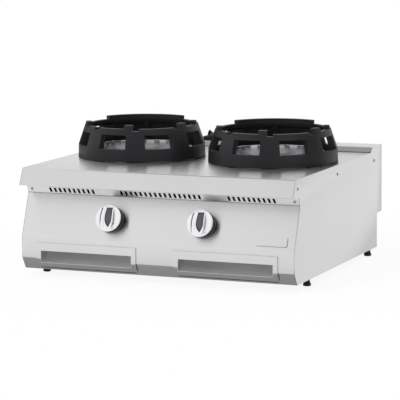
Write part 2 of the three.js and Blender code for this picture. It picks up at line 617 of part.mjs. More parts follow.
// ---------------------------------------------------------------- cast wok ring
function wokRing(name) {
  const at = (height) => WORKTOP_Z + height;
  const slope = (RING.bandRadius - RING.rimRadius) / (RING.rim - RING.band);
  const coneRadius = (height) => RING.bandRadius - slope * (height - RING.band);
  const rimFoot = RING.windowTop + 4;
  const body = ring([
    [RING.baseRadius, at(RING.lug)], [RING.bandRadius, at(RING.band)], [coneRadius(RING.nub), at(RING.nub)],
    [coneRadius(RING.nub) - RING.rimWall, at(RING.nub)], [coneRadius(rimFoot) - RING.rimWall, at(rimFoot)],
    [coneRadius(RING.windowTop) - RING.wall, at(RING.windowTop)],
    [RING.bandRadius - RING.wall, at(RING.band)], [RING.baseRadius - RING.wall, at(RING.lug)],
  ], 48);
  const step = 360 / RING.pillars;
  const [toolInner, toolOuter] = [RING.rimRadius - 40, RING.baseRadius + 40];
  const above = (from, to, height) => (
    prismZ(sector(from, to, toolInner, toolOuter, 4), at(height), at(RING.nub) + 8));

  // Windows lie between pillars, except in the closed back wall.
  const windows = [];
  for (let i = 0; i < RING.pillars; i++) {
    const middle = (i + 0.5) * step;
    if (Math.abs(middle - 180) > RING.wallHalf) {
      const half = step / 2 - RING.pillarHalf;
      const opening = sector(middle - half, middle + half, toolInner, toolOuter);
      windows.push(prismZ(opening, at(RING.band), at(RING.windowTop)));
    }
  }
  // The rim is lowered everywhere but at the nubs and the back wall.
  const raised = RING.nubs.map((angle) => [angle - RING.nubHalf, angle + RING.nubHalf]);
  raised.push([180 - RING.wallHalf, 180 + RING.wallHalf]);
  const lowered = raised.map(([, end], i) => (
    above(end, i + 1 < raised.length ? raised[i + 1][0] : raised[0][0] + 360, RING.rim)));
  // A shallow notch cuts the rim at the head of each pillar in front of the back wall.
  const notches = [];
  for (let i = 0; i < RING.pillars; i++) {
    const angle = i * step;
    if (Math.abs(angle - 180) > RING.wallHalf + RING.notchHalf) {
      notches.push(above(angle - RING.notchHalf, angle + RING.notchHalf, RING.rim - RING.notchDepth));
    }
  }
  const lugs = [45, 135, 225, 315].map((angle) => prismZ(
    sector(angle - RING.lugHalf, angle + RING.lugHalf, RING.baseRadius - RING.wall + 1, RING.baseRadius - 1),
    WORKTOP_Z + GAP, at(RING.lug) + 1));
  // Behind the wall each pillar is a deep rib, from the foot to the head of the windows.
  const ribs = ring([
    [RING.baseRadius - 1, at(RING.lug)], [RING.bandRadius - 1, at(RING.band)],
    [coneRadius(RING.windowTop) - 1, at(RING.windowTop)],
    [coneRadius(RING.windowTop) - RING.pillarDepth, at(RING.windowTop)],
    [RING.bandRadius - RING.pillarDepth, at(RING.band)],
    [RING.baseRadius - RING.pillarDepth, at(RING.lug)],
  ], 48);
  const pillars = [];
  for (let i = 0; i < RING.pillars; i++) {
    const angle = i * step;
    if (Math.abs(angle - 180) > RING.wallHalf) {
      const span = sector(angle - RING.pillarHalf, angle + RING.pillarHalf, toolInner, toolOuter);
      pillars.push(common(ribs, prismZ(span, at(0), at(RING.nub))));
    }
  }
  const casting = join(cut(body, ...windows, ...lowered, ...notches), ...pillars, ...lugs);
  return mesh(name, casting.rotateZ(RING.turn * DEG), CAST_IRON);
}

// ---------------------------------------------------------------- gas taps and knobs
// Each set is drawn about the knob's axis, with +Z out of the panel.
const TAP = {
  half: 17, front: 12, rear: 54, bore: 7, boreEnd: 44, outlet: 9, saddleDepth: 32, saddleDrop: 6,
};
const PLUNGER = { rear: 38, front: 30, clearance: 0.8 };
const MANIFOLD_RADIUS = 10.5;

function gasTap(name) {
  const body = box(-TAP.half, TAP.half, -TAP.half, TAP.half, -TAP.rear, -TAP.front);
  const saddle = rod(9, 0, TAP.saddleDrop + 4).rotateX(Math.PI / 2)
    .translate(0, -TAP.half + 4, -TAP.saddleDepth);
  const end = -TAP.rear - TAP.outlet;
  const outlet = turned([[0, end], [6, end], [6, -TAP.rear + 2], [0, -TAP.rear + 2]], 6);
  const bore = rod(TAP.bore, -TAP.boreEnd, 0);
  return mesh(name, cut(join(body, saddle, outlet), bore), BRASS);
}

// The plunger slides in the tap's bore and carries the spindle, so that the knob can be pushed in.
function tapPlunger(name) {
  return mesh(name, rod(TAP.bore - PLUNGER.clearance, -PLUNGER.rear, -PLUNGER.front - GAP, 12), PLAIN_STEEL);
}

const BODY_FRONT = KNOB.stand + KNOB.bodyDepth;
const KNOB_FRONT = BODY_FRONT + KNOB.rimDepth;
const SOCKET = { radius: 4.3, depth: 10 };

function tapSpindle(name) {
  const tip = KNOB.stand + SOCKET.depth - GAP;
  return mesh(name, rod(SOCKET.radius - GAP, -PLUNGER.front, tip, 12), PLAIN_STEEL);
}

function knobBody(name) {
  const z0 = KNOB.stand;
  const skin = turned([
    [0, z0], [KNOB.skirt - 1.5, z0], [KNOB.skirt, z0 + 1.5], [KNOB.skirt - 0.5, BODY_FRONT], [0, BODY_FRONT],
  ], 32);
  const socket = rod(SOCKET.radius, z0 - 5, z0 + SOCKET.depth, 12);
  const recess = rod(HUB.radius + GAP, BODY_FRONT - HUB.sunk, BODY_FRONT + 5, 32);
  return mesh(name, cut(skin, socket, recess), BLACK);
}

// The grip's ridge is an arch that drops by a height at a distance from its middle.
const GRIP = {
  half: 11.5, drop: 4, dropAt: 30, turn: 3.5,
  insertHalf: 10.5, insertTop: 30, insertFoot: 23.5, insertSeat: 2, insertProud: 1, clear: 0.5,
};

// The grip's outline: straight sides above the middle, and two arcs below it that meet in a point.
function pointer(half, top, foot) {
  const radius = (half * half + foot * foot) / (2 * half);
  const steps = 8;
  const heights = Array.from({ length: steps }, (_, i) => -foot * (1 - i / steps));
  const edges = heights.map((y) => [Math.sqrt(radius * radius - y * y) - radius + half, y]);
  const right = [...edges.slice(1), [half, 0], [half, top]];
  return outline([[0, -foot], ...right, ...right.reverse().map(([x, y]) => [-x, y])]);
}

// The space between two heights above the grip's arched ridge, across the whole knob.
function aboveRidge(low, high) {
  const ridge = (y) => KNOB_FRONT - GRIP.drop * (y / GRIP.dropAt) ** 2;
  const reach = KNOB.radius;
  const across = Array.from({ length: 11 }, (_, i) => reach * (i / 5 - 1));
  const strip = outline([
    ...across.map((y) => [y, ridge(y) + low]), ...across.reverse().map((y) => [y, ridge(y) + high]),
  ]);
  return prismX(strip, -reach, reach);
}

// The hollow that both scoops are part of: its sides are arcs that slope in towards its floor,
// and its ends stop at the rim's lip.
function scoopHollow() {
  const floor = KNOB_FRONT - SCOOP.depth;
  const rise = 5;
  const cone = turned([
    [0, floor], [SCOOP.arc - SCOOP.slope, floor],
    [SCOOP.arc + SCOOP.slope * rise / SCOOP.depth, KNOB_FRONT + rise], [0, KNOB_FRONT + rise],
  ], 96);
  const away = SCOOP.arc - SCOOP.half;
  const between = common(cone.clone().translate(-away, 0, 0), cone.clone().translate(away, 0, 0));
  return common(between, rod(KNOB.radius - SCOOP.lip, floor, KNOB_FRONT + rise, 32));
}

function knobCap(name) {
  const z0 = BODY_FRONT + GAP;
  const z1 = KNOB_FRONT;
  const back = z0 - HUB.sunk;
  const disc = turned([
    [0, back], [HUB.radius, back], [HUB.radius, z0], [KNOB.radius, z0],
    [KNOB.radius, z1 - KNOB.edge], [KNOB.radius - KNOB.edge, z1], [0, z1],
  ], 32);
  const floor = z1 - SCOOP.depth;
  const dish = scoopHollow();
  const grip = cut(
    prismZ(pointer(GRIP.half, KNOB.radius, KNOB.radius), floor - 5, z1 + 9),
    aboveRidge(0, 40),
  );
  const seat = cut(
    prismZ(pointer(GRIP.insertHalf, GRIP.insertTop, GRIP.insertFoot), floor - 5, z1 + 9),
    aboveRidge(-40, -GRIP.insertSeat),
  );
  const cap = mesh(name, cut(disc, cut(dish, grip), seat), POLISHED);
  cap.rotation.z = GRIP.turn * DEG;
  return cap;
}

function knobInsert(name) {
  const outlineOfPlate = pointer(
    GRIP.insertHalf - GRIP.clear, GRIP.insertTop - GRIP.clear, GRIP.insertFoot - 3 * GRIP.clear);
  const plate = mesh(name, cut(
    prismZ(outlineOfPlate, 0, KNOB_FRONT + 9),
    aboveRidge(-60, GAP - GRIP.insertSeat), aboveRidge(GRIP.insertProud, 60),
  ), GREY);
  plate.rotation.z = GRIP.turn * DEG;
  return plate;
}

function knobSet(side, sideName) {
  return onPanel(side * KNOB_X, KNOB_Z,
    gasTap(`${sideName}_gas_tap`),
    tapPlunger(`${sideName}_tap_plunger`),
    tapSpindle(`${sideName}_tap_spindle`),
    knobBody(`${sideName}_knob_body`),
    knobCap(`${sideName}_knob_cap`),
    knobInsert(`${sideName}_knob_insert`));
}

// The manifold runs just below the taps, [y, z], then along the right side to the inlet.
const MANIFOLD_DROP = TAP.half + TAP.saddleDrop + GAP + MANIFOLD_RADIUS;
const MANIFOLD_BEND = 16;          // distance from a corner of the pipe to the ends of its bend
const MANIFOLD_RISE = 20;          // how much higher the pipe lies at the rear

function gasManifold() {
  const [tapY, tapZ] = behindPanel(KNOB_Z, TAP.saddleDepth);
  const y = tapY - MANIFOLD_DROP * Math.sin(PANEL_LEAN);
  const z = tapZ - MANIFOLD_DROP * Math.cos(PANEL_LEAN);
  const route = [
    [-KNOB_X - 40, y, z], [INLET.x, y, z],
    [INLET.x, INLET.y, z + MANIFOLD_RISE], [INLET.x, INLET.y, PIPE_END_Z],
  ].map((p) => new Vector3(...p));
  const line = new THREE.CurvePath();
  let start = route[0];
  for (let i = 1; i < route.length - 1; i++) {
    const towards = (other) => route[i].clone().add(other.clone().sub(route[i]).setLength(MANIFOLD_BEND));
    const [before, after] = [towards(route[i - 1]), towards(route[i + 1])];
    line.add(new THREE.LineCurve3(start, before));
    line.add(new THREE.QuadraticBezierCurve3(before, route[i], after));
    start = after;
  }
  line.add(new THREE.LineCurve3(start, route[route.length - 1]));
  return mesh('gas_manifold', pipe(line, MANIFOLD_RADIUS, 8, 36), PLAIN_STEEL);
}

function gasInlet() {
  const top = PIPE_END_Z - GAP;
  const shank = INLET.radius - 2;
  return mesh('gas_inlet', turned([
    [0, INLET.foot], [shank, INLET.foot], [shank, top - INLET.nut], [INLET.radius, top - INLET.nut],
    [INLET.radius, top], [0, top],
  ], 20).translate(INLET.x, INLET.y, 0), BRASS);
}

// The tube from a tap to its injector.
function supplyTube(name, side) {
  const [tapY, tapZ] = behindPanel(KNOB_Z, TAP.rear + TAP.outlet + GAP);
  const [outY, outZ] = behindPanel(KNOB_Z, TAP.rear + TAP.outlet + 17);
  const end = BURNER_Y + INJECTOR_Y - GAP;
  return mesh(name, tube([
    [side * KNOB_X, tapY, tapZ], [side * KNOB_X, outY, outZ],
    [side * (KNOB_X + 26), outY + 22, outZ + 26], [side * (BURNER_X - 4), end - 30, GAS_AXIS_Z - 3],
    [side * BURNER_X, end - 10, GAS_AXIS_Z], [side * BURNER_X, end, GAS_AXIS_Z],
  ], 4, 6, 22), PLAIN_STEEL);
}

// ---------------------------------------------------------------- drip trays, from x0 to x1
function trayFront(name, x0, x1) {
  const apron = [[APRON_FOOT[0], TRAY.top], APRON_FOOT, [kickY(TRAY.foot), TRAY.foot]];
  const plate = prismX(folded(offset(apron, -TRAY.proud), SHEET), x0, x1);
  const [in0, in1] = [x0 + POCKET.side, x1 - POCKET.side];
  const window = box(in0, in1, -40, 12, POCKET.foot, POCKET.top);
  const face = APRON_FOOT[0] - TRAY.proud;
  // The finger pocket's section: a wedge whose back wall slopes up and rearward.
  const wedge = (grow, forward) => {
    const rear = face + POCKET.depth + grow * 0.6;
    return outline([
      [face - forward, POCKET.foot - grow], [face + POCKET.seat, POCKET.foot - grow],
      [rear, POCKET.top - 3], [rear, POCKET.top + grow], [face - forward, POCKET.top + grow],
    ]);
  };
  const shell = cut(
    prismX(wedge(SHEET, -SHEET), in0 - SHEET, in1 + SHEET),
    prismX(wedge(0, 9), in0, in1),
  );
  return mesh(name, join(cut(plate, window), shell), STEEL);
}

// An open pan on a low tongue that reaches forward under the finger pocket to the tray's front.
function dripTray(name, x0, x1) {
  const [a, b] = [x0 + TRAY.sideGap, x1 - TRAY.sideGap];
  const t = SHEET;
  const front = kickY(TRAY.floorZ) + SHEET;
  const outer = join(
    box(a, b, TRAY.panFront, TRAY.rear, TRAY.floorZ, TRAY.wallZ),
    box(a, b, front, TRAY.rear, TRAY.floorZ, TRAY.tongueZ),
  );
  const hollow = box(a + t, b - t, TRAY.panFront + t, TRAY.rear - t, TRAY.floorZ + t, TRAY.wallZ + 5);
  const nook = box(a + t, b - t, front - 5, TRAY.panFront, TRAY.floorZ + t, TRAY.wallZ);
  return mesh(name, cut(outer, hollow, nook), PLAIN_STEEL);
}

const CRADLE = { inset: 4, shelf: 12, front: 40, rear: 600, straps: [120, 520], strapWidth: 30 };

// Two rails on a pair of cross straps, which the tray slides on.
function trayCradle(name, x0, x1) {
  const z0 = KICK_FOOT[1] + 2 * (SHEET + GAP);
  const top = TRAY.floorZ - GAP;
  const rail = (x, side) => {
    const path = [[x, z0], [x, top], [x - side * CRADLE.shelf, top]];
    return prismY(folded(path, side * SHEET), CRADLE.front, CRADLE.rear);
  };
  const [a, b] = [x0 + CRADLE.inset, x1 - CRADLE.inset];
  const straps = CRADLE.straps.map((y) => box(a + 0.5, b - 0.5, y, y + CRADLE.strapWidth, z0, z0 + SHEET));
  return mesh(name, join(rail(a, -1), rail(b, 1), ...straps), PLAIN_STEEL);
}

function traySet(side, sideName) {
  const [x0, x1] = [side * TRAY.inner, side * TRAY.outer].sort((a, b) => a - b);
  return group([0, 0, 0],
    trayFront(`${sideName}_tray_front`, x0, x1),
    dripTray(`${sideName}_drip_tray`, x0, x1),
    trayCradle(`${sideName}_tray_cradle`, x0, x1));
}

// ---------------------------------------------------------------- feet and screws
function foot(name, side, y) {
  const seat = KICK_FOOT[1] + SHEET;
  const piece = mesh(name, turned([
    [0, 0], [FOOT.sole, 0], [FOOT.pad, 2.5], [FOOT.pad, 5], [FOOT.stem + 3, 12], [FOOT.stem + 3, seat],
    [FOOT.stem, seat], [FOOT.stem, seat + FOOT.thread], [0, seat + FOOT.thread],
  ], 12), BLACK);
  piece.position.set(...footPlace(side, y), 0);
  return piece;
}

function screw() {
  const crown = GAP + SCREW.headHeight;
  return turned([
    [0, -SCREW.shankLength], [SCREW.shank, -SCREW.shankLength], [SCREW.shank, GAP], [SCREW.head, GAP],
    [SCREW.head, crown - 1], [SCREW.head * 0.6, crown], [0, crown],
  ], SCREW_SIDES);
}

function stripScrew(name, side) {
  return mesh(name, onStrip(screw(), side), PLAIN_STEEL);
}

// ---------------------------------------------------------------- assembly
const range = new THREE.Group();
range.add(
  worktop(), sidePanel('left_side_panel', -1), sidePanel('right_side_panel', 1), frontFascia(), ventStrip(),
  basePan(), rearPanel(), rearLedge(), flueDuct(), flueGrate(), heatDeck(), valveRail(),
  gasManifold(), gasInlet(),
);
for (const [side, sideName] of [[-1, 'left'], [1, 'right']]) {
  range.add(
    burnerSet(side, sideName), knobSet(side, sideName), supplyTube(`${sideName}_supply_tube`, side),
    traySet(side, sideName), stripScrew(`${sideName}_strip_screw`, side),
    foot(`front_${sideName}_foot`, side, FOOT.front), foot(`rear_${sideName}_foot`, side, FOOT.rear),
  );
}

// The knobs reach furthest forward and the rear panel furthest back.
const knobFaceY = behindPanel(KNOB_Z, -KNOB_FRONT)[0];
const foremostY = knobFaceY - (KNOB.radius - KNOB.edge) * Math.sin(PANEL_LEAN);
range.position.y = -(foremostY + REAR_Y) / 2;

export default range;
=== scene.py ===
# %% [markdown]
# # A countertop wok range
# This range is a low box of folded stainless sheet with two open gas burners. A heavy cast ring stands
# round each burner and holds a round-bottomed wok. In front are two push-and-turn knobs and two pull-out
# drip trays, and at the back a flue grate lies on a raised ledge.
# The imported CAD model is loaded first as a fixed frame. It says where every piece is and which pieces
# move, so the finer pieces below are made straight in their places.

# %% Load the frame
import json
from math import atan2, ceil, cos, degrees, hypot, pi, radians, sin, sqrt

import bmesh
import bpy
from mathutils import Matrix, Vector


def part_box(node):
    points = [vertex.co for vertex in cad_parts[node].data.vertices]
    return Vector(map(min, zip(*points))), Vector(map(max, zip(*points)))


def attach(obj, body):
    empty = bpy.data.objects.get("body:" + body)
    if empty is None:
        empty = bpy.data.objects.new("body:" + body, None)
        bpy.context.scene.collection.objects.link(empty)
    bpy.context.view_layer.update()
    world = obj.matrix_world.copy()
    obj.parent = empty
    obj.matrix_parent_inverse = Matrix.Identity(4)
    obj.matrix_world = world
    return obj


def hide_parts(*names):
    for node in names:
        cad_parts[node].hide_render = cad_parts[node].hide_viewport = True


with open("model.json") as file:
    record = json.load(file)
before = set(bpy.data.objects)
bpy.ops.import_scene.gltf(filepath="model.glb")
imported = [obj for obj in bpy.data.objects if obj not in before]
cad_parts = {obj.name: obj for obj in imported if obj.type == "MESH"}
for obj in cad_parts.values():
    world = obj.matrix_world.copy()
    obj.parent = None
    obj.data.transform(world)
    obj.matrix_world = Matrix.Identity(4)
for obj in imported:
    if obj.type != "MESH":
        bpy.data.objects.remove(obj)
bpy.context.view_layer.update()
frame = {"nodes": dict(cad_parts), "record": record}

# %% [markdown]
# ## The frame of measures
# The makers of such casings draw everything from the top front edge of the worktop. The same is done
# here: a depth counts rearward from that edge in millimetres, and `spot` turns an x, a depth and a
# height into a place in metres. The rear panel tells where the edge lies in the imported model.

# %% Measures of the casing, in millimetres
MM = 0.001
REAR_DEPTH = 709
EDGE_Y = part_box("rear_panel")[1][1] - REAR_DEPTH * MM
WORKTOP_Z = 300
HALF_WIDTH = 400
SHEET = 1.5
INSIDE = HALF_WIDTH - SHEET - 0.3
BURNER_X, BURNER_DEPTH = 200, 353
PANEL_TOP, PANEL_FOOT = (32, 228), (-12, 110.5)
APRON_FOOT, KICK_FOOT = (-12, 53), (8, 20)
STRIP_TOP, STRIP_FOOT = (24, 249.3), (32, 228.3)
LEDGE_FOOT, LEDGE_FRONT, LEDGE_Z = 611, 626, 314.5
SIDES = {"left": -1, "right": 1}


def spot(x, depth, z):
    """A place in metres from millimetres, the depth counted from the worktop's front edge."""
    return Vector((x * MM, EDGE_Y + depth * MM, z * MM))


print("front edge of the worktop at y =", round(EDGE_Y, 5))

# %% [markdown]
# ## The camera
# The photograph was taken from the right, a little above the worktop, with a long lens. A camera's place
# can be found by trial, or it can be fitted: eighteen corners of the casing were matched to their pixels,
# and the numbers below are that fit. The three axes of the camera are built from its yaw, pitch and roll,
# which keeps the matrix exact.

# %% Set up the camera
YAW, PITCH, ROLL = 0.401651, 0.144027, -0.0094748
CAMERA_PLACE = spot(2394.03, -5334.71, 1075.73)
ahead = Vector((-sin(YAW) * cos(PITCH), cos(YAW) * cos(PITCH), -sin(PITCH)))
level_right = Vector((cos(YAW), sin(YAW), 0))
level_up = level_right.cross(ahead)
right = cos(ROLL) * level_right + sin(ROLL) * level_up
up = cos(ROLL) * level_up - sin(ROLL) * level_right
bpy.ops.object.camera_add()
camera = bpy.context.object
camera.name = "camera"
camera.matrix_world = Matrix.Translation(CAMERA_PLACE) @ Matrix((right, up, -ahead)).transposed().to_4x4()
camera.data.sensor_width = 36
camera.data.lens = 198.63
camera.data.clip_end = 100
bpy.context.scene.camera = camera
bpy.context.scene.view_settings.view_transform = "Standard"
print("camera", [round(v, 3) for v in camera.location])

# %% [markdown]
# ## Shader sums as plain Python
# A procedural material is a graph of nodes. Drawing it node by node is slow to read, so `Signal` wraps a
# socket and lets Python's own operators add the Math nodes, and `Nodes.node` makes any other node.

# %% Helpers for node trees
class Signal:
    """A node's output that can be used in sums."""

    def __init__(self, nodes, socket):
        self.nodes = nodes
        self.socket = socket

    def maths(self, operation, first, second):
        return self.nodes.node("ShaderNodeMath", {0: first, 1: second}, operation=operation)

    def __add__(self, other):
        return self.maths("ADD", self, other)

    def __sub__(self, other):
        return self.maths("SUBTRACT", self, other)

    def __rsub__(self, other):
        return self.maths("SUBTRACT", other, self)

    def __mul__(self, other):
        return self.maths("MULTIPLY", self, other)

    __radd__ = __add__
    __rmul__ = __mul__


class Nodes:
    """A node tree and the one method that adds a node to it."""

    def __init__(self, tree):
        self.tree = tree

    def plug(self, value, socket):
        if isinstance(value, Signal):
            self.tree.links.new(value.socket, socket)
        else:
            socket.default_value = value

    def node(self, kind, inputs=None, output=0, stops=None, **settings):
        node = self.tree.nodes.new(kind)
        for name, value in settings.items():
            setattr(node, name, value)
        if stops:
            ramp = node.color_ramp
            ramp.elements[0].position, ramp.elements[1].position = stops[0][0], stops[-1][0]
            for position, _ in stops[1:-1]:
                ramp.elements.new(position)
            for element, (_, value) in zip(ramp.elements, stops):
                element.color = (value, value, value, 1)
        for socket, value in (inputs or {}).items():
            self.plug(value, node.inputs[socket])
        return Signal(self, node.outputs[output])


# %% Helpers for materials
class Finish(Nodes):
    """A material with one Principled shader; what is the same all over is set on its own sockets."""

    def __init__(self, name, colour, **sockets):
        self.material = bpy.data.materials.new(name)
        self.material.use_nodes = True
        super().__init__(self.material.node_tree)
        self.shader = self.tree.nodes["Principled BSDF"]
        self.set("Base Color", (*colour, 1))
        self.colour = colour
        for socket, value in sockets.items():
            self.set(socket.replace("_", " "), value)

    def set(self, socket, value):
        self.plug(value, self.shader.inputs[socket])

    def place(self, scale=(1, 1, 1)):
        """The piece's own coordinates in metres, stretched."""
        coordinates = self.node("ShaderNodeTexCoord", output="Object")
        return self.node("ShaderNodeMapping", {"Vector": coordinates, "Scale": scale})

    def noise(self, scale, stretch=(1, 1, 1), detail=3.0, roughness=0.5):
        inputs = {"Vector": self.place(stretch), "Scale": scale, "Detail": detail, "Roughness": roughness}
        return self.node("ShaderNodeTexNoise", inputs)

    def tint(self, mask, share):
        """Darkens the base colour by up to a share where the mask is 1."""
        dark = tuple(channel * (1 - share) for channel in self.colour)
        inputs = {"Factor": mask, 6: (*self.colour, 1), 7: (*dark, 1)}
        self.set("Base Color", self.node("ShaderNodeMix", inputs, output=2, data_type="RGBA"))

    def bump(self, height, distance, strength=1.0):
        self.set("Normal", self.node(
            "ShaderNodeBump", {"Height": height, "Distance": distance, "Strength": strength}))


# %% [markdown]
# ## Stainless sheet
# Catering sheet is ground on a belt, which leaves fine scratches that all run one way. A reflection is
# smeared across them and stays crisp along them. A noise stretched along the grain could do this as a
# bump, but its scratches are finer than a pixel, so the shader's own anisotropy does the smearing and the
# noise only varies the roughness. A second, broad noise gives the faint clouds of rolled sheet.
# The smear needs a direction on every fold. Blender takes it round the middle of a mesh's texture space,
# so `lay_grain` moves that middle far away, and the direction is then the same all over the sheet.

# %% Stainless finishes
def ground_sheet(name, level, roughness, grain, scratch=0.00003, **sockets):
    """Belt-ground sheet whose scratches run along the axis whose stretch is small."""
    finish = Finish(name, (level, level, level * 1.005), Metallic=1.0, Roughness=roughness, **sockets)
    fine = finish.noise(1.0, grain, detail=2)
    cloud = finish.noise(4.5, detail=3)
    finish.set("Roughness", fine * 0.06 + cloud * 0.04 + (roughness - 0.05))
    finish.tint(cloud * 0.6 + fine * 0.4, 0.07)
    finish.bump(fine, scratch)
    return finish.material


ALONG_X, ALONG_Y = (6, 1500, 1500), (1500, 6, 1500)
SMEAR = {"Anisotropic": 0.9, "Anisotropic_Rotation": 0.25}
front_steel = ground_sheet("front_steel", 0.76, 0.30, ALONG_X, **SMEAR)
side_steel = ground_sheet("side_steel", 0.72, 0.32, ALONG_Y)
top_steel = ground_sheet("top_steel", 0.70, 0.26, ALONG_X, **SMEAR)
# The pocket's sheet is rougher than the front's, and a little darker as painted shade in the tray's recess.
pocket_shade_steel = ground_sheet("pocket_shade_steel", 0.70, 0.34, ALONG_X, **SMEAR)
plain_steel = ground_sheet("plain_steel", 0.36, 0.42, (40, 40, 40), 0.00002)
# A near-black sheet for behind the vent slots: painted shade that makes the slots look black.
slot_shade_steel = ground_sheet("slot_shade_steel", 0.05, 0.60, (40, 40, 40), 0.00002)
print("stainless finishes made")

# %% [markdown]
# ## Polished and plated metal
# The collars round the burners are spun and polished, the knobs' caps are chromed plastic. Both are
# nearly mirrors, so what counts is a little haze. Polishing on a lathe leaves fine rings, and these smear
# a reflection up and down, which is the same trick as the ground sheet's.

# %% Polished finishes
polished = Finish("polished_steel", (0.62, 0.62, 0.64), Metallic=1.0, Roughness=0.2, **SMEAR)
polished.set("Roughness", polished.noise(1.0, (300, 300, 8)) * 0.08 + 0.12)
polished_steel = polished.material

plated = Finish("bright_chrome", (0.86, 0.86, 0.88), Metallic=1.0, Roughness=0.07)
plated.set("Roughness", plated.noise(320) * 0.05 + 0.05)
chrome = plated.material

turned_brass = Finish("brass", (0.60, 0.44, 0.20), Metallic=1.0, Roughness=0.3)
heat = turned_brass.noise(30, detail=4)
turned_brass.tint(heat, 0.35)
turned_brass.set("Roughness", heat * 0.2 + 0.22)
brass = turned_brass.material

# %% [markdown]
# ## Enamelled cast iron
# The wok rings, burner heads and the grate come from sand moulds and are enamelled black. The sand leaves
# a fine grain that the enamel only softens, so the surface is dull with a slight sheen. Two noises do
# this: a fine one for the grain in the bump, and a broad one that varies the sheen.

# %% Cast iron and plastics
iron = Finish("black_enamel", (0.013, 0.013, 0.0155), Roughness=0.5, Specular_IOR_Level=0.32)
grain = iron.noise(700, detail=2)
patch = iron.noise(16, detail=3)
iron.tint(patch, 0.3)
iron.set("Roughness", patch * 0.18 + grain * 0.08 + 0.36)
iron.bump(grain * 0.6 + iron.noise(150, detail=2), 0.0004, 0.35)
cast_iron = iron.material

gloss = Finish("black_gloss", (0.005, 0.005, 0.0055), Roughness=0.12, Specular_IOR_Level=0.16)
gloss.set("Roughness", gloss.noise(60) * 0.08 + 0.09)
gloss.bump(gloss.noise(90, detail=1), 0.0001, 0.15)
black_gloss = gloss.material

satin = Finish("grey_satin", (0.07, 0.07, 0.075), Roughness=0.4)
satin.tint(satin.noise(500), 0.15)
satin.bump(satin.noise(1800, detail=1), 0.0001, 0.3)
grey_satin = satin.material

rubber = Finish("black_moulding", (0.009, 0.009, 0.0095), Roughness=0.5, Specular_IOR_Level=0.3)
rubber.tint(rubber.noise(120), 0.25)
rubber.bump(rubber.noise(1200, detail=2), 0.0002, 0.3)
black_moulding = rubber.material
print("finishes:", len(bpy.data.materials))


# %% [markdown]
# ## A few moves of the hand
# Every piece below is started from a primitive and shaped in edit mode. An operator acts on all that is
# selected, so each step first selects exactly the vertices, edges or faces it means, by their place.

# %% Helpers for modelling
def put_down():
    """Object mode, with nothing selected."""
    if bpy.context.mode != "OBJECT":
        bpy.ops.object.mode_set(mode="OBJECT")
    bpy.ops.object.select_all(action="DESELECT")


def pick_up(*pieces):
    """Object mode, with only these pieces selected and the last one active."""
    put_down()
    for piece in pieces:
        piece.select_set(True)
    bpy.context.view_layer.objects.active = pieces[-1]


def open_up(piece):
    """Edit mode on one piece, with nothing in it selected."""
    pick_up(piece)
    bpy.ops.object.mode_set(mode="EDIT")
    bpy.ops.mesh.select_mode(type="VERT")
    bpy.ops.mesh.select_all(action="DESELECT")


def choose(kind, test):
    """Selects the vertices, edges or faces whose middle and self pass the test, and no others."""
    bpy.ops.mesh.select_mode(type=kind)
    bpy.ops.mesh.select_all(action="DESELECT")
    mesh = bmesh.from_edit_mesh(bpy.context.object.data)
    parts = {"VERT": mesh.verts, "EDGE": mesh.edges, "FACE": mesh.faces}[kind]
    for part in parts:
        if kind == "VERT":
            middle = part.co
        else:
            middle = sum((v.co for v in part.verts), Vector()) / len(part.verts)
        if test(middle, part):
            part.select_set(True)
    mesh.select_flush_mode()
    bmesh.update_edit_mesh(bpy.context.object.data)


def grow(by, mesh_part="REGION"):
    """Extrudes what is selected and moves the new part."""
    move = {"value": tuple(by)}
    if mesh_part == "VERTS":
        bpy.ops.mesh.extrude_vertices_move(TRANSFORM_OT_translate=move)
    elif mesh_part == "EDGES":
        bpy.ops.mesh.extrude_edges_move(TRANSFORM_OT_translate=move)
    else:
        bpy.ops.mesh.extrude_region_move(TRANSFORM_OT_translate=move)


def modify(piece, kind, **settings):
    """Adds a modifier and applies it."""
    pick_up(piece)
    modifier = piece.modifiers.new(kind.lower(), kind)
    for name, value in settings.items():
        setattr(modifier, name, value)
    bpy.ops.object.modifier_apply(modifier=modifier.name)


def cut_away(piece, *tools, operation="DIFFERENCE"):
    for tool in tools:
        modify(piece, "BOOLEAN", operation=operation, object=tool, solver="EXACT")
        bpy.data.objects.remove(tool)


def rounded(piece, width, angle=30, segments=3):
    """Rounds every edge that is sharper than the angle."""
    modify(piece, "BEVEL", width=width * MM, segments=segments, limit_method="ANGLE",
           angle_limit=radians(angle), harden_normals=False)


def chain(name, points):
    """A line of vertices, drawn from one vertex point by point, left in edit mode and selected."""
    put_down()
    bpy.ops.mesh.primitive_plane_add(size=MM)
    piece = bpy.context.object
    piece.name = piece.data.name = name
    open_up(piece)
    bpy.ops.mesh.select_all(action="SELECT")
    bpy.ops.mesh.merge(type="CENTER")
    bpy.ops.transform.translate(value=points[0])
    for here, there in zip(points, points[1:]):
        grow(there - here, "VERTS")
    bpy.ops.mesh.select_all(action="SELECT")
    return piece


def tidy_normals():
    """Merges doubles and turns all faces outwards; on a thin shell the volume tells whether they are."""
    bpy.ops.mesh.select_all(action="SELECT")
    bpy.ops.mesh.remove_doubles(threshold=0.00001)
    bpy.ops.mesh.normals_make_consistent(inside=False)
    mesh = bmesh.from_edit_mesh(bpy.context.object.data)
    if all(edge.is_manifold for edge in mesh.edges) and mesh.calc_volume(signed=True) < 0:
        bpy.ops.mesh.flip_normals()


def plate(name, points, by):
    """A flat outline, filled and given a thickness by one extrusion."""
    piece = chain(name, [*points, points[0]])
    bpy.ops.mesh.remove_doubles(threshold=0.000001)
    bpy.ops.mesh.select_all(action="SELECT")
    bpy.ops.mesh.edge_face_add()
    grow(by)
    tidy_normals()
    bpy.ops.object.mode_set(mode="OBJECT")
    return piece


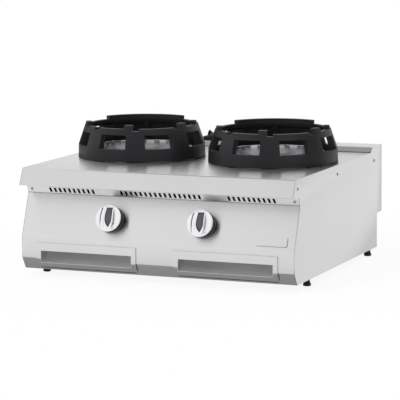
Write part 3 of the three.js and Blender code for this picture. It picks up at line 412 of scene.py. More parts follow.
def spun(name, profile, centre=Vector(), sides=96):
    """A turned piece: a profile of radius and height in millimetres, spun about the vertical axis."""
    piece = chain(name, [centre + Vector((r * MM, 0, z * MM)) for r, z in profile])
    bpy.ops.mesh.spin(steps=sides, angle=2 * pi, center=centre, axis=(0, 0, 1))
    tidy_normals()
    bpy.ops.object.mode_set(mode="OBJECT")
    return piece


def box_tool(x0, x1, y0, y1, z0, z1):
    """A box between two corners in metres, for cutting with."""
    put_down()
    middle = ((x0 + x1) / 2, (y0 + y1) / 2, (z0 + z1) / 2)
    bpy.ops.mesh.primitive_cube_add(size=1, location=middle, scale=(x1 - x0, y1 - y0, z1 - z0))
    return bpy.context.object


def rod_tool(radius, depth, centre, sides=64, rotation=(0, 0, 0)):
    put_down()
    bpy.ops.mesh.primitive_cylinder_add(
        vertices=sides, radius=radius * MM, depth=depth * MM, location=centre, rotation=rotation)
    return bpy.context.object


def settle(piece):
    """Puts a piece's place into its mesh, so that its object sits at the origin."""
    pick_up(piece)
    bpy.ops.object.transform_apply(location=True, rotation=True, scale=True)


def lay_grain(piece):
    """Gives the whole mesh one direction of smear, by a texture space far behind it."""
    piece.data.use_auto_texspace = False
    piece.data.texspace_location = (0, 100, 0)
    piece.data.texspace_size = (1, 1, 1)


def finished(piece, body, slot, material, *nodes, smooth=30):
    """Settles a piece, gives it its finish and hangs it on its body."""
    settle(piece)
    bpy.ops.object.shade_smooth_by_angle(angle=radians(smooth))
    if material in (front_steel, top_steel, pocket_shade_steel):
        lay_grain(piece)
    piece.data.materials.clear()
    piece.data.materials.append(material)
    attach(piece, body)
    if nodes:
        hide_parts(*nodes)
    print(piece.name, len(piece.data.polygons), "faces")


# %% [markdown]
# ## Folded sheet
# Most of the casing is sheet that a press brake has folded. The real sheet is flat first and gets its
# folds one by one. Here one narrow strip starts the sheet, and each further stretch is extruded from its
# last edge, along the drawn section. The folds are bevelled to their bend radius while the sheet has no
# thickness, and Solidify adds the gauge last, so inner and outer bends stay parallel.

# %% Helper for folded sheet
def folded(name, path, left, right, gauge, bend=2.0, segments=4):
    """A folded sheet from left to right; it lies left of the path, or right if the gauge is negative."""
    put_down()
    bpy.ops.mesh.primitive_plane_add(size=1)
    piece = bpy.context.object
    piece.name = piece.data.name = name
    open_up(piece)
    points = [spot(0, *point) for point in path]
    width, middle = (right - left) * MM, (right + left) / 2 * MM
    bpy.ops.mesh.select_all(action="SELECT")
    bpy.ops.transform.resize(value=(width, 1, 1), center_override=(0, 0, 0))
    bpy.ops.transform.translate(value=(middle, 0, 0))
    choose("VERT", lambda _, vertex: vertex.index in (0, 1))
    bpy.ops.transform.translate(value=points[0] - Vector((0, -0.5, 0)))
    choose("VERT", lambda _, vertex: vertex.index in (2, 3))
    bpy.ops.transform.translate(value=points[1] - Vector((0, 0.5, 0)))
    bpy.ops.mesh.select_mode(type="EDGE")
    for here, there in zip(points[1:], points[2:]):
        grow(there - here, "EDGES")
    folds = points[1:-1]
    choose("EDGE", lambda m, _: any(abs(m.y - p.y) < 1e-5 and abs(m.z - p.z) < 1e-5 for p in folds))
    bpy.ops.mesh.bevel(offset=bend * MM, segments=segments, affect="EDGES", clamp_overlap=True)
    bpy.ops.object.mode_set(mode="OBJECT")
    modify(piece, "SOLIDIFY", thickness=abs(gauge) * MM, offset=1 if gauge > 0 else -1, use_even_offset=True)
    open_up(piece)
    tidy_normals()
    bpy.ops.object.mode_set(mode="OBJECT")
    return piece


# %% [markdown]
# ### Worktop
# One 2 mm sheet is both the worktop and the leaning nose above the controls. A round well is cut for each
# burner.

# %% Worktop
TOP_PATH = [(22, 251.3), (-21.5, 253.5), (0, WORKTOP_Z), (640, WORKTOP_Z), (640, 284)]
WELL_RADIUS, TOP_SHEET = 128, 2
worktop = folded("worktop_sheet", TOP_PATH, -INSIDE, INSIDE, -TOP_SHEET, bend=3, segments=6)
for side in SIDES.values():
    cut_away(worktop, rod_tool(WELL_RADIUS, 40, spot(side * BURNER_X, BURNER_DEPTH, WORKTOP_Z), 128))
finished(worktop, "root", "satin_steel", top_steel, "worktop")

# %% [markdown]
# ### Front panel
# The front panel is one long fold: it leans back behind the knobs, drops straight as an apron, and turns
# in at the foot. It has a hole for each knob's spindle and an opening behind each tray.

# %% Front panel
KNOB_X, KNOB_Z = 134, 166
PANEL_LEAN = atan2(PANEL_TOP[0] - PANEL_FOOT[0], PANEL_TOP[1] - PANEL_FOOT[1])
TRAY_INNER, TRAY_OUTER, TRAY_TOP, TRAY_FOOT = 56, 353, 97, 28
OPENING_MARGIN, OPENING_FOOT, OPENING_TOP = 5, 25, 93
SPINDLE_HOLE = 7


def panel_depth(z):
    """How far back the leaning panel lies at a height."""
    share = (PANEL_TOP[1] - z) / (PANEL_TOP[1] - PANEL_FOOT[1])
    return PANEL_TOP[0] + share * (PANEL_FOOT[0] - PANEL_TOP[0])


FASCIA_PATH = [(52, 228), PANEL_TOP, PANEL_FOOT, APRON_FOOT, KICK_FOOT, (32, 20)]
fascia = folded("front_panel", FASCIA_PATH, -INSIDE, INSIDE, SHEET, bend=1.6)
for side in SIDES.values():
    x0, x1 = sorted((side * (TRAY_INNER + OPENING_MARGIN) * MM, side * (TRAY_OUTER - OPENING_MARGIN) * MM))
    cut_away(fascia, box_tool(x0, x1, EDGE_Y - 0.03, EDGE_Y + 0.03, OPENING_FOOT * MM, OPENING_TOP * MM))
    hole = spot(side * KNOB_X, panel_depth(KNOB_Z), KNOB_Z)
    cut_away(fascia, rod_tool(SPINDLE_HOLE, 30, hole, 48, (pi / 2 - PANEL_LEAN, 0, 0)))
finished(fascia, "root", "satin_steel", front_steel, "front_fascia")

# %% [markdown]
# ### Vent strip
# A narrow strip is set back under the nose and leans the other way, so it stays in half shadow. Cooling
# air enters by three rows of slanted slots. One slot is drawn, an Array modifier repeats it, and the row
# is cut from the strip in one go. Behind the slots stands a baffle, a guess, in a near-black finish that
# is painted shade and makes the slots look black.

# %% Vent strip
SLOT_PITCH, SLOT_WIDTH, SLOT_HEIGHT, SLOT_SLANT = 14.3, 7.0, 12.5, 3.4
SLOT_ROWS = [(-264, 10), (0, 17), (264, 10)]
SLOT_MIDDLE = (STRIP_TOP[1] + STRIP_FOOT[1]) / 2 - 0.6
strip = folded(
    "vent_strip_sheet", [(44, 249.3), STRIP_TOP, STRIP_FOOT, (52, 228.3)], -INSIDE, INSIDE, SHEET, bend=1.2)
for centre, count in SLOT_ROWS:
    x = centre - (count - 1) / 2 * SLOT_PITCH
    low, high = SLOT_MIDDLE - SLOT_HEIGHT / 2, SLOT_MIDDLE + SLOT_HEIGHT / 2
    corners = [
        (x - (SLOT_WIDTH + SLOT_SLANT) / 2, high), (x + (SLOT_WIDTH - SLOT_SLANT) / 2, high),
        (x + (SLOT_WIDTH + SLOT_SLANT) / 2, low), (x - (SLOT_WIDTH - SLOT_SLANT) / 2, low),
    ]
    slots = plate("slots", [spot(px, 18, pz) for px, pz in corners], (0, 0.02, 0))
    modify(slots, "ARRAY", count=count, use_relative_offset=False, use_constant_offset=True,
           constant_offset_displace=(SLOT_PITCH * MM, 0, 0))
    cut_away(strip, slots)
finished(strip, "root", "satin_steel", front_steel, "vent_strip")

# %% Baffle behind the vent strip
# The baffle's near-black finish is painted shade inside the slots.
baffle = box_tool(-INSIDE * MM, INSIDE * MM, EDGE_Y + 0.056, EDGE_Y + 0.0575, 0.2305, 0.2485)
baffle.name = baffle.data.name = "vent_baffle_sheet"
finished(baffle, "root", "plain_steel", slot_shade_steel)

# %% [markdown]
# ### Side panels
# Each side is one flat sheet whose outline follows the nose, the vent strip, the leaning front and, at
# the rear, the recess for the gas pipe. A flat sheet with many corners is quickest drawn as an outline,
# filled and extruded by its thickness.

# %% Side panels
SIDE_OUTLINE = [
    STRIP_TOP, (-21.5, 253.5), (-1.6, 296.5), (-0.6, 298.7), (1.4, 299.8), (3.6, WORKTOP_Z),
    (LEDGE_FOOT, WORKTOP_Z), (LEDGE_FRONT, LEDGE_Z), (REAR_DEPTH, LEDGE_Z), (REAR_DEPTH, 119.5),
    (667, 119.5), (667, KICK_FOOT[1]), KICK_FOOT, APRON_FOOT, PANEL_FOOT, PANEL_TOP,
]
for name, side in SIDES.items():
    outline = [spot(side * (HALF_WIDTH - SHEET), *point) for point in SIDE_OUTLINE]
    panel = plate(f"{name}_side_sheet", outline, (side * SHEET * MM, 0, 0))
    rounded(panel, 0.35, 60, 2)
    finished(panel, "root", "satin_steel", side_steel, f"{name}_side_panel")

# %% [markdown]
# ### Rear ledge
# Behind the worktop a low step rises to a level ledge that carries the flue grate. It is folded like the
# rest, and the opening for the flue gas is cut afterwards.

# %% Rear ledge
LEDGE_PATH = [(LEDGE_FOOT + 1.5, 301.8), (LEDGE_FRONT, LEDGE_Z), (REAR_DEPTH, LEDGE_Z), (REAR_DEPTH, 300.3)]
ledge = folded("ledge_sheet", LEDGE_PATH, -INSIDE, INSIDE, -SHEET, bend=1.6)
FLUE_HALF, FLUE_FRONT, FLUE_REAR = 106, 652, 690
cut_away(ledge, box_tool(-FLUE_HALF * MM, FLUE_HALF * MM, EDGE_Y + FLUE_FRONT * MM, EDGE_Y + FLUE_REAR * MM,
                         0.30, 0.33))
finished(ledge, "root", "satin_steel", top_steel, "rear_ledge")

# %% [markdown]
# ## Wok ring
# The ring is one casting: an upright band at the foot, a cone of pillars and windows above it, and a
# lowered rim with raised nubs that grip the wok. At the back the rim rises to a closed wall that keeps
# the flame off the cook's wall.
# A ring with so many steps could be cut with booleans from a cone. Spinning is cleaner: one upright line
# is spun from feature to feature, so a column of vertices stands exactly at each edge of each window,
# notch and nub. The faces that are air are then deleted, and the skin is thickened towards the middle.

# %% Features of the wok ring, in millimetres and in degrees from its front pillar
RING_TURN = 18.5
PILLAR_HALF, NOTCH_HALF, WALL_HALF, RIB_HALF = 9.2, 2.9, 44.5, 2.7
BAND_TOP, WINDOW_TOP, RIM_STEP, NOTCH_FLOOR, RIM, LIP, NUB = 37, 75, 79.5, 86, 92, 97.5, 102.5
FOOT_RADIUS, BAND_RADIUS, RIM_RADIUS, LUG = 181, 179.5, 160.5, 2
NUBS = [(-80.5, -70.5), (-12.5, -NOTCH_HALF), (45 + NOTCH_HALF, 57), (82, 90 - NOTCH_HALF)]
POSTS = [(a - PILLAR_HALF, a + PILLAR_HALF) for a in (-135, -90, -45, 0, 45, 90, 135)]
WINDOWS = [(a + PILLAR_HALF, a + 45 - PILLAR_HALF) for a in (-135, -90, -45, 0, 45, 90)]
NOTCHES = [(a - NOTCH_HALF, a + NOTCH_HALF) for a in (-90, -45, 0, 45, 90)]
LUGS = [(a - NOTCH_HALF, a + NOTCH_HALF) for a in (-135, -45, 45, 135)]
WALL = (180 - WALL_HALF, 180 + WALL_HALF)


def cone_radius(height):
    return BAND_RADIUS - (BAND_RADIUS - RIM_RADIUS) * (height - BAND_TOP) / (RIM - BAND_TOP)


def within(angle, spans):
    """Whether an angle lies in one of the spans, all in degrees."""
    return any((angle - start) % 360 < (end - start) % 360 for start, end in spans)


RING_SKIN = [(FOOT_RADIUS, LUG), (BAND_RADIUS, BAND_TOP)] + [
    (cone_radius(h), h) for h in (WINDOW_TOP, RIM_STEP, NOTCH_FLOOR, RIM, LIP, NUB)]


# %% Wok ring: spin the skin and thicken it
def wok_ring(name, centre):
    def angle_of(place):
        return degrees(atan2(place.x - centre.x, centre.y - place.y)) - RING_TURN

    def height_of(place):
        return (place.z - centre.z) / MM

    marks = [edge for spans in (NUBS, WINDOWS, NOTCHES, LUGS, [WALL], [(180 - RIB_HALF, 180 + RIB_HALF)])
             for span in spans for edge in span]
    marks = sorted({round(mark % 360, 2) for mark in marks})
    marks.append(marks[0] + 360)
    start = radians(marks[0] + RING_TURN)
    out = Vector((sin(start), -cos(start), 0))
    ring = chain(name, [centre + out * r * MM + Vector((0, 0, h * MM)) for r, h in RING_SKIN])
    for here, there in zip(marks, marks[1:]):
        span = there - here
        bpy.ops.mesh.spin(steps=ceil(span / 3), angle=-radians(span), center=centre, axis=(0, 0, -1))
    tidy_normals()

    choose("FACE", lambda m, _: BAND_TOP < height_of(m) < WINDOW_TOP and within(angle_of(m), WINDOWS))
    bpy.ops.mesh.delete(type="FACE")
    choose("FACE", lambda m, _: height_of(m) > RIM and not within(angle_of(m), [*NUBS, WALL]))
    bpy.ops.mesh.delete(type="FACE")
    choose("FACE", lambda m, _: height_of(m) > NOTCH_FLOOR and within(angle_of(m), NOTCHES))
    bpy.ops.mesh.delete(type="FACE")

    # The wall's two ends lean inwards, and its upper edge flares out to a lip.
    for end, turn in ((WALL[0], 1), (WALL[1], -1)):
        at_end = radians(end + RING_TURN)
        along = Vector((cos(at_end), sin(at_end), 0)) * turn
        for level, lean in ((LIP, 0.035), (NUB, 0.06)):
            choose("VERT", lambda m, _: abs(height_of(m) - level) < 0.5
                   and abs((angle_of(m) - end + 180) % 360 - 180) < 0.2)
            bpy.ops.transform.translate(value=along * lean * RIM_RADIUS * MM)
    choose("VERT", lambda m, _: height_of(m) > LIP - 1 and within(angle_of(m), [(WALL[0] - 2, WALL[1] + 2)]))
    bpy.ops.transform.resize(value=(1.022, 1.022, 1), center_override=centre)

    bpy.ops.mesh.select_all(action="SELECT")
    grow((0, 0, 0))
    bpy.ops.transform.resize(value=(0.942, 0.942, 1), center_override=centre)
    tidy_normals()

    # Inside, the pillars are deep ribs, a thick rim stands proud, and a rib strengthens the back.
    def inner(face):
        middle = face.calc_center_median() - centre
        return face.normal.x * middle.x + face.normal.y * middle.y < -0.05

    choose("FACE", lambda m, f: height_of(m) < WINDOW_TOP and inner(f) and within(angle_of(m), POSTS))
    grow((0, 0, 0))
    bpy.ops.transform.resize(value=(0.94, 0.94, 1), center_override=centre)
    choose("FACE", lambda m, f: height_of(m) > RIM_STEP and inner(f))
    grow((0, 0, 0))
    bpy.ops.transform.resize(value=(0.965, 0.965, 1), center_override=centre)
    choose("FACE", lambda m, f: BAND_TOP < height_of(m) < RIM_STEP and inner(f)
           and within(angle_of(m), [(180 - RIB_HALF, 180 + RIB_HALF)]))
    grow((0, 0, 0))
    bpy.ops.transform.resize(value=(0.967, 0.967, 1), center_override=centre)
    tidy_normals()
    rounded(ring, 1.7, 34)

    open_up(ring)
    choose("FACE", lambda m, f: f.normal.z < -0.9 and height_of(m) < LUG + 1 and within(angle_of(m), LUGS))
    grow((0, 0, (0.3 - LUG) * MM))
    bpy.ops.object.mode_set(mode="OBJECT")
    return ring


# %% Wok rings in place
for name, side in SIDES.items():
    ring = wok_ring(f"{name}_cast_ring", spot(side * BURNER_X, BURNER_DEPTH, WORKTOP_Z))
    finished(ring, f"{name}_ring", "cast_iron", cast_iron, f"{name}_wok_ring", smooth=38)

# %% [markdown]
# ## Burner wells
# Each burner sits in a well: a low polished collar keeps spills out of it, and a bowl below leads them
# down to the tray. Both are spun on a lathe in reality, and here too: a profile is drawn and spun.

# %% Collars and bowls
COLLAR_TOP = 30
BEAD, BEAD_MIDDLE = 2.6, 140.3
bead = [(BEAD_MIDDLE + BEAD * cos(radians(a)), COLLAR_TOP - BEAD + BEAD * sin(radians(a)))
        for a in range(-90, 181, 30)]
COLLAR = [(138.5, 0.3), (156, 0.3), (156, 1.8), (142, 1.8), (140.5, 2.4), (140, 4), *bead, (138.5, 0.3)]
BOWL = [(137.5, 0.3), (137.5, 1.8), (127, 1.8), (124, 1.1), (100, -42), (100, -50), (101.5, -50),
        (101.5, -42.4), (127.7, 0.3), (137.5, 0.3)]
for name, side in SIDES.items():
    centre = spot(side * BURNER_X, BURNER_DEPTH, WORKTOP_Z)
    collar = spun(f"{name}_collar", COLLAR, centre, 128)
    finished(collar, "root", "polished_steel", polished_steel, f"{name}_burner_collar")
    bowl = spun(f"{name}_bowl", BOWL, centre, 128)
    finished(bowl, "root", "polished_steel", polished_steel, f"{name}_burner_bowl")

# %% [markdown]
# ## Burners
# The gas comes up inside a cast body and leaves by ports round a loose crown. A brass cap closes the
# middle. The crown is spun, and its ports are cut by one ring of small blocks.

# %% Burner crowns and caps
PORTS = 32
CROWN = [(26, 249.3), (70, 249.3), (70, 257), (67, 262), (61, 271), (58, 274.5), (55, 276), (49, 275),
         (26, 268), (26, 249.3)]
CAP = [(0, 261), (25, 261), (23, 273), (32, 275), (33.2, 276), (33, 279), (30, 281.5), (22, 285),
       (12, 287.3), (0, 288)]
for name, side in SIDES.items():
    centre = spot(side * BURNER_X, BURNER_DEPTH, 0)
    crown = spun(f"{name}_crown", CROWN, centre, 128)
    ports = box_tool(-0.0013, 0.0013, 0.053, 0.078, 0.266, 0.280)
    settle(ports)
    copies = []
    for i in range(PORTS):
        port = ports.copy()
        port.data = ports.data.copy()
        bpy.context.collection.objects.link(port)
        port.matrix_world = Matrix.Translation(centre) @ Matrix.Rotation(2 * pi * i / PORTS, 4, "Z")
        copies.append(port)
    bpy.data.objects.remove(ports)
    pick_up(*copies)
    bpy.ops.object.join()
    cut_away(crown, copies[-1])
    finished(crown, f"{name}_burner_top", "cast_iron", cast_iron, f"{name}_burner_head")
    cap = spun(f"{name}_cap", CAP, centre, 64)
    finished(cap, f"{name}_burner_top", "brass", brass, f"{name}_burner_cap")

# %% [markdown]
# ## Knobs
# Each knob has a glossy black body against the panel, a chromed cap set into it, and a grey insert in the
# cap's grip that ends in a point; a black bed under the insert is painted shade in the gap round it. The
# cap's face is hollowed on both sides of the grip.
# The parts are drawn flat, with the knob's axis upright, and then leaned onto the panel.
# The face would be hard to extrude, because the hollow, the grip and the arched ridge cross each other.
# So each is made as a plain solid, they are cut from one another, and the edges are rounded once. The
# hollow is what two wide cones and the rim's inner circle have in common, so its sides are long arcs.
# The cones flare at the top, and that gives the hollow's edge the soft crease that shows as a dark line.
# A cut is only reliable where no two faces lie in one plane. So the ridge is lifted a hair above the cap's
# face, the seat is drawn deeper than the hollow's floor, and the rounding comes after the last cut.

# %% Measures of a knob, heights along its axis from the panel
KNOB_RADIUS, KNOB_STAND, BODY_TOP, KNOB_FACE = 37.5, 4, 27, 29
HUB_RADIUS, HUB_BACK = 34.8, 17.3
SCOOP_HALF, SCOOP_ARC, SCOOP_SLOPE, SCOOP_DEPTH, SCOOP_LIP = 23.5, 92, 9, 6.5, 3.2
GRIP_HALF, GRIP_TURN = 11.5, 2
INSERT_HALF, INSERT_TOP, INSERT_FOOT = 10.3, 30, 24.5
RIDGE_DROP, RIDGE_AT, RIDGE_LIFT = 6, 30, 0.05


def pointer(half, top, foot, steps=12):
    """The grip's outline: sides that narrow a little upwards and two arcs below that meet in a point."""
    radius = (half * half + foot * foot) / (2 * half)
    heights = [-foot * (1 - i / steps) for i in range(1, steps)]
    edge = [(sqrt(radius * radius - y * y) - radius + half, y) for y in heights]
    edge += [(half, 0), (half * 0.97, top * 0.4), (half * 0.84, top)]
    return [(0, -foot), *edge, *[(-x, y) for x, y in reversed(edge)]]


def upright(name, outline, low, high):
    return plate(name, [Vector((x * MM, y * MM, low * MM)) for x, y in outline], (0, 0, (high - low) * MM))


def over_ridge(low, high):
    """The space between two heights above the arched ridge, across the whole knob."""
    across = [KNOB_RADIUS * (i / 8 - 1) for i in range(17)]
    ridge = [(y, KNOB_FACE - RIDGE_DROP * (y / RIDGE_AT) ** 2) for y in across]
    edge = [(y, z + low) for y, z in ridge] + [(y, z + high) for y, z in reversed(ridge)]
    start = -0.04
    return plate("ridge", [Vector((start, y * MM, z * MM)) for y, z in edge], (0.08, 0, 0))


# %% Parts of a knob
def scoop_hollow():
    """The space that both scoops are part of, open upwards."""
    top, over = KNOB_FACE, 5
    profile = [(0, top - SCOOP_DEPTH), (SCOOP_ARC - SCOOP_SLOPE, top - SCOOP_DEPTH)]
    profile += [(SCOOP_ARC + x, top - z) for x, z in ((-1.9, 1.2), (-0.7, 0.5), (0.6, 0.13), (2, -0.02))]
    profile += [(SCOOP_ARC + 2, top + over), (0, top + over)]
    away = Vector(((SCOOP_ARC - SCOOP_HALF) * MM, 0, 0))
    hollow = spun("hollow", profile, -away, 256)
    cut_away(hollow, spun("cone", profile, away, 256), operation="INTERSECT")
    middle = (0, 0, (top - SCOOP_DEPTH + 10) * MM)
    cut_away(hollow, rod_tool(KNOB_RADIUS - SCOOP_LIP, 22, middle, 96), operation="INTERSECT")
    return hollow


def knob_cap(name):
    top = KNOB_FACE
    cap = spun(name, [
        (0, HUB_BACK), (HUB_RADIUS, HUB_BACK), (HUB_RADIUS, BODY_TOP + 0.2), (37.2, BODY_TOP + 0.2),
        (KNOB_RADIUS, BODY_TOP + 0.5), (37.4, top - 1), (37.1, top - 0.55), (36.6, top - 0.2),
        (36, top - 0.03), (35.4, top), (0, top)])
    hollow = scoop_hollow()
    grip = upright("grip", pointer(GRIP_HALF, KNOB_RADIUS, KNOB_RADIUS), top - SCOOP_DEPTH - 1, top + 9)
    open_up(grip)
    choose("VERT", lambda m, _: m.z < (top - SCOOP_DEPTH) * MM)
    bpy.ops.transform.resize(value=(1.1, 1, 1), center_override=(0, 0, 0))
    cut_away(grip, over_ridge(RIDGE_LIFT, 40))
    cut_away(hollow, grip)
    cut_away(cap, hollow)
    seat = upright("seat", pointer(INSERT_HALF, INSERT_TOP, INSERT_FOOT), HUB_BACK + 1, top + 9)
    cut_away(seat, over_ridge(-40, -2))
    cut_away(cap, seat)
    rounded(cap, 0.7, 40)
    return cap


def knob_insert(name):
    outline = [(x + 0.5, y) for x, y in pointer(INSERT_HALF - 1.9, INSERT_TOP - 2.2, INSERT_FOOT - 3.6)]
    insert = upright(name, outline, 10, KNOB_FACE + 9)
    cut_away(insert, over_ridge(-60, -0.65), over_ridge(0.2, 60))
    rounded(insert, 0.3, 30)
    return insert


def knob_shade_bed(name):
    """A black bed under the insert: painted shade in the gap that shows round it."""
    bed = upright(name, pointer(INSERT_HALF - 0.05, INSERT_TOP - 0.05, INSERT_FOOT - 0.1), 10, KNOB_FACE + 9)
    cut_away(bed, over_ridge(-60, -1.95), over_ridge(-0.7, 60))
    return bed


def knob_body(name):
    wall = HUB_RADIUS + 0.3
    return spun(name, [
        (0, 13.7), (4.3, 13.7), (4.3, KNOB_STAND), (35.5, KNOB_STAND), (36.8, KNOB_STAND + 0.6),
        (37.3, KNOB_STAND + 2), (37.3, BODY_TOP - 4), (36.9, BODY_TOP - 3), (36.9, BODY_TOP - 2.4),
        (37.3, BODY_TOP - 1.6), (37.2, BODY_TOP - 0.4), (36.8, BODY_TOP), (wall, BODY_TOP),
        (wall, HUB_BACK - 0.3), (0, HUB_BACK - 0.3)])


# %% Knobs in place
for name, side in SIDES.items():
    lean = Matrix.Translation(spot(side * KNOB_X, panel_depth(KNOB_Z), KNOB_Z))
    lean @= Matrix.Rotation(pi / 2 - PANEL_LEAN, 4, "X")
    turn = Matrix.Rotation(radians(GRIP_TURN), 4, "Z")
    parts = [
        (knob_body(f"{name}_knob_shell"), "black_plastic", black_gloss, "body"),
        (knob_cap(f"{name}_knob_face"), "chrome", chrome, "cap"),
        (knob_insert(f"{name}_knob_pointer"), "grey_plastic", grey_satin, "insert"),
        # The black bed is painted shade for the gap round the insert.
        (knob_shade_bed(f"{name}_knob_shade_bed"), "black_plastic", black_gloss, None),
    ]
    for part, slot, material, node in parts:
        part.matrix_world = lean @ turn
        nodes = [f"{name}_knob_{node}"] if node else []
        finished(part, f"{name}_knob", slot, material, *nodes)

# %% [markdown]
# ## Drip trays
# Each tray's front is a second skin just proud of the apron and kick, with a finger pocket pressed into
# it. The plate is folded, its edges are turned back, a window is cut, and the wedge-shaped pocket is a
# box whose front is left open and whose lower rear edge is pulled forward. The pocket could be one sheet
# with the front, but it is a piece of its own: its sheet is rougher, and a little darker as painted shade
# in the recess.

# %% Tray fronts
PROUD, POCKET_SIDE, POCKET_TOP, POCKET_FOOT, POCKET_DEPTH, POCKET_SEAT = 4, 13, 75, 43, 50, 6
kick_slope = (KICK_FOOT[0] - APRON_FOOT[0]) / (APRON_FOOT[1] - KICK_FOOT[1])
FACE_DEPTH = APRON_FOOT[0] - PROUD
kick_out = PROUD * hypot(1, kick_slope)
bend_z = APRON_FOOT[1] - (kick_out - PROUD) / kick_slope
foot_depth = APRON_FOOT[0] - kick_out + kick_slope * (APRON_FOOT[1] - TRAY_FOOT)


def pocket_shell(x0, x1):
    """The pressed pocket, open at the front."""
    rear = FACE_DEPTH + POCKET_DEPTH
    low, high = spot(x0, FACE_DEPTH + SHEET, POCKET_FOOT), spot(x1, rear, POCKET_TOP)
    shell = box_tool(low.x, high.x, low.y, high.y, low.z, high.z)
    settle(shell)
    open_up(shell)
    choose("VERT", lambda m, _: m.z < low.z + MM and m.y > high.y - MM)
    bpy.ops.transform.translate(value=(0, (POCKET_SEAT - POCKET_DEPTH) * MM, 0))
    choose("FACE", lambda m, f: m.y < low.y + 0.0001)
    bpy.ops.mesh.delete(type="FACE")
    choose("EDGE", lambda m, e: not e.is_boundary)
    bpy.ops.mesh.bevel(offset=1.5 * MM, segments=3, affect="EDGES")
    modify(shell, "SOLIDIFY", thickness=SHEET * MM, offset=1)
    return shell


def tray_front(name, x0, x1):
    path = [(FACE_DEPTH, TRAY_TOP), (FACE_DEPTH, bend_z), (foot_depth, TRAY_FOOT)]
    front = folded(name, path, x0, x1, SHEET)
    edges = [(x0, x0 + SHEET, 54), (x1 - SHEET, x1, 54), (x0, x1, TRAY_TOP - SHEET)]
    returns = [
        box_tool(a * MM, b * MM, EDGE_Y + (FACE_DEPTH + 0.8) * MM, EDGE_Y + (APRON_FOOT[0] - 0.3) * MM,
                 low * MM, TRAY_TOP * MM)
        for a, b, low in edges
    ]
    cut_away(front, *returns, operation="UNION")
    in0, in1 = x0 + POCKET_SIDE, x1 - POCKET_SIDE
    cut_away(front, box_tool(in0 * MM, in1 * MM, EDGE_Y - 0.04, EDGE_Y + 0.01,
                             POCKET_FOOT * MM, POCKET_TOP * MM))
    rounded(front, 0.5, 60, 2)
    return front


for name, side in SIDES.items():
    x0, x1 = sorted((side * TRAY_INNER, side * TRAY_OUTER))
    front = tray_front(f"{name}_tray_face", x0, x1)
    finished(front, f"{name}_tray", "satin_steel", front_steel, f"{name}_tray_front")
    pocket = pocket_shell(x0 + POCKET_SIDE, x1 - POCKET_SIDE)
    pocket.name = pocket.data.name = f"{name}_tray_pocket"
    finished(pocket, f"{name}_tray", "satin_steel", pocket_shade_steel)

# %% [markdown]
# ## Flue grate
# The grate is a small casting with a row of slots in its crest and a pierced lifting eye at each end. A
# box is bevelled to the crest's section, hollowed and slotted, and the eyes are drawn plates.

# %% Flue grate
GRATE_Z = LEDGE_Z + 0.3
GRATE_MIDDLE = 671
CREST_HALF, GRATE_HALF, GRATE_SLOTS = 114, 131, 9


def section(name, half, wall, low):
    """The grate's crest as a solid, moved inwards by a wall."""
    shape = [
        (640 + wall, low), (640 + wall, GRATE_Z + 11 - wall / 2), (651 + wall, GRATE_Z + 19 - wall),
        (691 - wall, GRATE_Z + 19 - wall), (702 - wall, GRATE_Z + 11 - wall / 2), (702 - wall, low),
    ]
    return plate(name, [spot(-half, *point) for point in shape], (2 * half * MM, 0, 0))


def eye(side):
    arch = [(112, 9), (130, 9), (130, 11), (127, 22), (124, 26.5), (121, 26.5), (118, 22), (112, 19)]
    hole = [(118, 11.5), (126, 11.5), (123.2, 21), (121, 21)]
    plates = []
    for outline, half in ((arch, 2.5), (hole, 9)):
        points = [spot(side * x, GRATE_MIDDLE - half, GRATE_Z + z) for x, z in outline]
        plates.append(plate("eye", points, (0, 2 * half * MM, 0)))
    cut_away(*plates)
    return plates[0]


grate = section("cast_grate", CREST_HALF, 0, GRATE_Z)
flange = box_tool(-GRATE_HALF * MM, GRATE_HALF * MM, EDGE_Y + 0.640, EDGE_Y + 0.702,
                  GRATE_Z * MM, (GRATE_Z + 11) * MM)
cut_away(grate, flange, operation="UNION")
cut_away(grate, section("hollow", CREST_HALF - 6, 6, GRATE_Z - 5))
pitch = 2 * (CREST_HALF - 6) / GRATE_SLOTS
slot_cut = box_tool((-CREST_HALF + 6 + pitch * 0.2) * MM, (-CREST_HALF + 6 + pitch * 0.8) * MM,
                    EDGE_Y + 0.657, EDGE_Y + 0.685, (GRATE_Z + 8) * MM, (GRATE_Z + 24) * MM)
settle(slot_cut)
modify(slot_cut, "ARRAY", count=GRATE_SLOTS, use_relative_offset=False, use_constant_offset=True,
       constant_offset_displace=(pitch * MM, 0, 0))
cut_away(grate, slot_cut)
cut_away(grate, eye(-1), eye(1), operation="UNION")
rounded(grate, 0.9, 34, 2)
finished(grate, "grate", "cast_iron", cast_iron, "flue_grate", smooth=35)

# %% [markdown]
# ## Feet, screws and the blank plate
# Small turned pieces are spun from a profile, and the front left foot stands where the photograph shows
# it. The screws have a slotted head. The small plate on the front panel is plain; a black pad behind it,
# set a little right and down, is a painted shadow that shows as a dark line at its edge.

# %% Feet
FOOT_PROFILE = [(0, 0), (8.4, 0), (9.6, 0.6), (11, 2.5), (11, 5), (10.4, 6.4), (8, 12), (8, 21.2), (5, 21.5),
                (5, 37.5), (0, 37.5)]
FEET = {"front_left": (-370, 78), "front_right": (387, 116),
        "rear_left": (-387, 621), "rear_right": (387, 621)}
for name, (x, depth) in FEET.items():
    foot = spun(f"{name}_pad", FOOT_PROFILE, spot(x, depth, 0), 48)
    finished(foot, f"{name}_foot_body", "black_plastic", black_moulding, f"{name}_foot")

# %% Screws
SCREW_PROFILE = [(0, -9), (2, -9), (2, 0.3), (4, 0.3), (4, 0.9), (3.4, 1.6), (2.2, 1.9), (0, 1.9)]
STRIP_SCREW_X, SIDE_SCREW_Z, SIDE_SCREW_DEPTHS = 386, 275, (12, 324, 640)
STRIP_LEAN = atan2(STRIP_FOOT[0] - STRIP_TOP[0], STRIP_TOP[1] - STRIP_FOOT[1])


